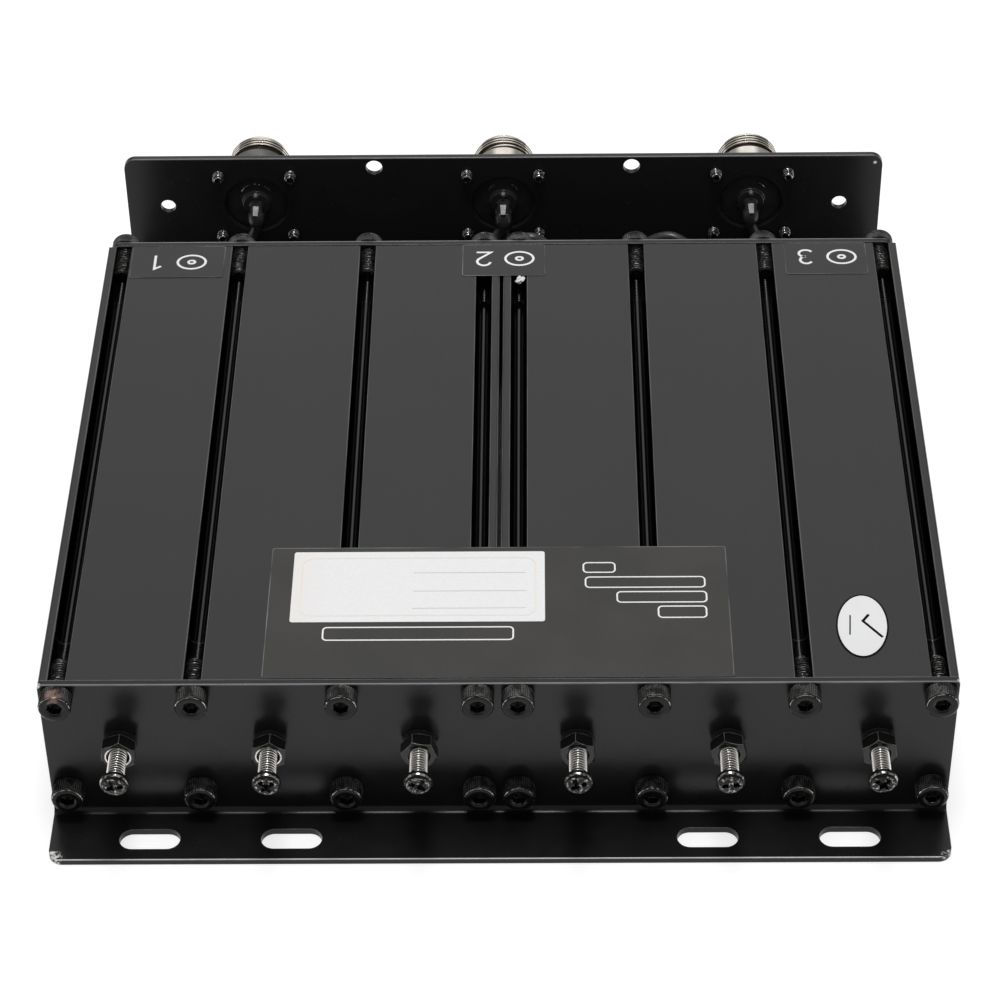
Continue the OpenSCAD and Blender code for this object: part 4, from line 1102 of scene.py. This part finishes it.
def edge_highlight_lines():
    """A painted highlight line where each dark film ends. The nameplate has none along its front edge."""
    bm = bmesh.new()
    widths = {"nameplate": 0.2, **dict.fromkeys(PORT_PRINTS, 0.16)}
    for node, width in widths.items():
        low, high = size_of(node)
        outline = framed(low, high, width / 2, 0.6)
        if node == "nameplate":
            middle = (low.y + high.y) / 2
            upper = [p for p in outline if p[1] > middle]
            outline = [(upper[0][0], BLOCK_LOW.y + 1)] + upper + [(upper[-1][0], BLOCK_LOW.y + 1)]
        ribbon(bm, outline, width, high.z - 0.015, closed=node != "nameplate")
    printed("film_edge_highlight_lines", bm, EDGE_HIGHLIGHT_LINE)


def framed(low, high, inset, r):
    """A rectangle with round corners, inset from a node's box."""
    x, y = (low.x + high.x) / 2, (low.y + high.y) / 2
    w, h = high.x - low.x - 2 * inset, high.y - low.y - 2 * inset
    return [(x + u, y + v) for u, v in round_rectangle(w, h, r)]


def nameplate_film():
    """The nameplate's film, which runs on nearly to the blocks' front end, as in the photograph."""
    bm = bmesh.new()
    low, high = size_of("nameplate")
    front = BLOCK_LOW.y + 0.45
    outline = [(low.x, front), (high.x, front), (high.x, high.y), (low.x, high.y)]
    slab(bm, outline, low.z, high.z, Matrix.Identity(4), bevel=0.02)
    piece("nameplate_film", bm, [NAMEPLATE], "housing", ["nameplate"])


def prints():
    nameplate_film()
    for i, (node, where) in enumerate(PORT_PRINTS.items()):
        port_print(i, node, where)
    nameplate_fields()
    edge_highlight_lines()
    low, high = size_of("paper_label")
    bm = bmesh.new()
    for y in (4.2, 9.6, 15.4):
        ribbon(bm, [(low.x + 26, low.y + y), (high.x - 4, low.y + y)], 0.16, high.z)
    printed("paper_rules", bm, PRINT_GREY)
    bm = bmesh.new()
    ribbon(bm, framed(low, high, 2.0, 2.4), 0.3, high.z, closed=True)
    printed("paper_frame", bm, PRINT_PEACH)
    low, high = size_of("oval_sticker")
    x, y = (low.x + high.x) / 2, (low.y + high.y) / 2
    bm = bmesh.new()
    rx, ry = (high.x - low.x) / 2, (high.y - low.y) / 2
    # The dark ring at the sticker's rim is painted shade; the tick and the bar are print.
    outline = arc(0, 0, rx - 0.07, ry - 0.03, 0, 355, 71)
    ribbon(bm, turned(outline, x, y, OVAL_TILT), FIELD_LINE, high.z, closed=True)
    ribbon(bm, turned([(1.6, 3.4), (0.2, 1.4), (4.0, -3.6)], x, y, 0), 0.6, high.z)
    ribbon(bm, turned([(-2.6, -3.0), (-2.6, 3.0)], x, y, OVAL_TILT), 0.3, high.z)
    printed("oval_print_and_rim_shade", bm, PRINT_BLACK)


def turned(path, x, y, degrees):
    a = radians(degrees)
    return [(x + u * cos(a) - v * sin(a), y + u * sin(a) + v * cos(a)) for u, v in path]


def glue():
    """A smear of white glue that was left in one screw channel near the middle label."""
    bm = bmesh.new()
    centre = Vector((GLUE_AT[0], GLUE_AT[1], BLOCK_HIGH.z - 0.75))
    bmesh.ops.create_icosphere(bm, subdivisions=4, radius=1)
    for v in bm.verts:
        rough = 1 + 0.45 * noise.noise(v.co * 1.7 + Vector((3, 1, 4)))
        v.co = Vector((v.co.x * 0.95 + 0.35 * v.co.y, v.co.y * 1.5, v.co.z * 0.7)) * rough + centre
    piece("glue_smear", bm, [GLUE], "housing", sharp=80)


# Camera and light, fitted to the photograph

CAMERA_AT = (8.9228, -476.61918, 504.24677)
CAMERA_PITCH = 0.71594
CAMERA_YAW = -0.01621
CAMERA_ROLL = -0.01549
FOCAL_PX = 3201.744
IMAGE_PX = 1001
SENSOR = 36.0


def camera():
    data = bpy.data.cameras.new("camera")
    data.sensor_width = SENSOR
    data.lens = FOCAL_PX / IMAGE_PX * SENSOR
    data.clip_start = 0.01
    data.clip_end = 50
    o = new_object("camera", data)
    forward = Vector((sin(CAMERA_YAW) * cos(CAMERA_PITCH), cos(CAMERA_YAW) * cos(CAMERA_PITCH),
                      -sin(CAMERA_PITCH)))
    right = Vector((cos(CAMERA_YAW), -sin(CAMERA_YAW), 0))
    up = right.cross(forward)
    level, rise = cos(CAMERA_ROLL), sin(CAMERA_ROLL)
    right, up = level * right + rise * up, -rise * right + level * up
    turn = Matrix((right, up, -forward)).transposed()
    o.matrix_world = Matrix.Translation(point(CAMERA_AT)) @ turn.to_4x4()
    bpy.context.scene.camera = o


# The lamp's place, target and size in metres, its power in watts, and the world's levels

LAMP_AT = (0.0, -0.02, 1.3)
LAMP_TARGET = (0, 0, 0.02)
LAMP_SIZE = (0.34, 0.62)
LAMP_POWER = 8.7
WORLD_DIM = 0.3
WORLD_BRIGHT = 1.0


def lamp():
    data = bpy.data.lights.new("overhead", "AREA")
    data.shape = "RECTANGLE"
    data.size, data.size_y = LAMP_SIZE
    data.energy = LAMP_POWER
    o = new_object("overhead", data)
    o.location = LAMP_AT
    o.rotation_euler = (Vector(LAMP_TARGET) - Vector(LAMP_AT)).to_track_quat("-Z", "Y").to_euler()


def world():
    """A bright window behind and over the object, dim elsewhere; the camera sees white all over."""
    w = bpy.data.worlds.new("studio")
    bpy.context.scene.world = w
    n = Nodes(w)
    way = n.axes(n.outputs("ShaderNodeTexCoord")["Generated"])
    towards_rear = n.ramp(way["Y"], -0.2, 0.4)
    near_middle = n.ramp(n.math("ABSOLUTE", way["X"]), 0.42, 0.24)
    level = n.ramp(n.times(towards_rear, near_middle), 0.0, 1.0, WORLD_DIM, WORLD_BRIGHT)
    background = n.tree.nodes["Background"].inputs
    n.put(background["Color"], 1)
    n.put(background["Strength"], n.most(level, n.outputs("ShaderNodeLightPath")["Is Camera Ray"]))


FLOOR_HALF = 4.0
FLOOR_COLOUR = 0.45
FLOOR_GLOW = 0.7


def floor():
    """A white floor. It glows only where it is seen, and not under the object, so that the shadow stays."""
    bm = bmesh.new()
    bm.faces.new([bm.verts.new((sx * FLOOR_HALF, sy * FLOOR_HALF, 0)) for sx, sy in SQUARE])
    mesh = bpy.data.meshes.new("floor")
    bm.to_mesh(mesh)
    bm.free()
    s = Shader("floor", Base_Color=FLOOR_COLOUR, Roughness=0.9, Specular_IOR_Level=0.0)
    path = s.outputs("ShaderNodeLightPath")
    seen = s.most(path["Is Camera Ray"], path["Is Glossy Ray"], path["Is Transmission Ray"])
    place = s.axes(s.place())
    low, high = point((0, 0.5, 0)), point((0, PANEL_OUT, 0))
    beside = s.ramp(s.math("ABSOLUTE", place["X"]), (HALF_W - 1) * MM, HALF_W * MM)
    before = s.ramp(place["Y"], low.y + 2 * MM, low.y)
    behind_it = s.ramp(place["Y"], high.y - 2 * MM, high.y)
    s.set("Emission Color", 1)
    s.set("Emission Strength", s.times(seen, s.most(beside, before, behind_it), FLOOR_GLOW))
    mesh.materials.append(s.material)
    o = new_object("floor", mesh)


dress_nodes()
cap_screws("front_cap_screws", 0, TOWARDS_FRONT, CAP_HEAD_H)
cap_screws("rear_cap_screws", REAR_OUT, TOWARDS_REAR, REAR_HEAD_H)
for number in range(6):
    tuning_screw(number)
connector_screws()
for number in range(3):
    connector(number)
boot(0, (0,))
boot(1, (-PAIR_STEP / 2, PAIR_STEP / 2))
boot(2, (0,))
cables()
prints()
glue()
camera()
bpy.context.scene.view_settings.view_transform = "Standard"
world()
lamp()
floor()
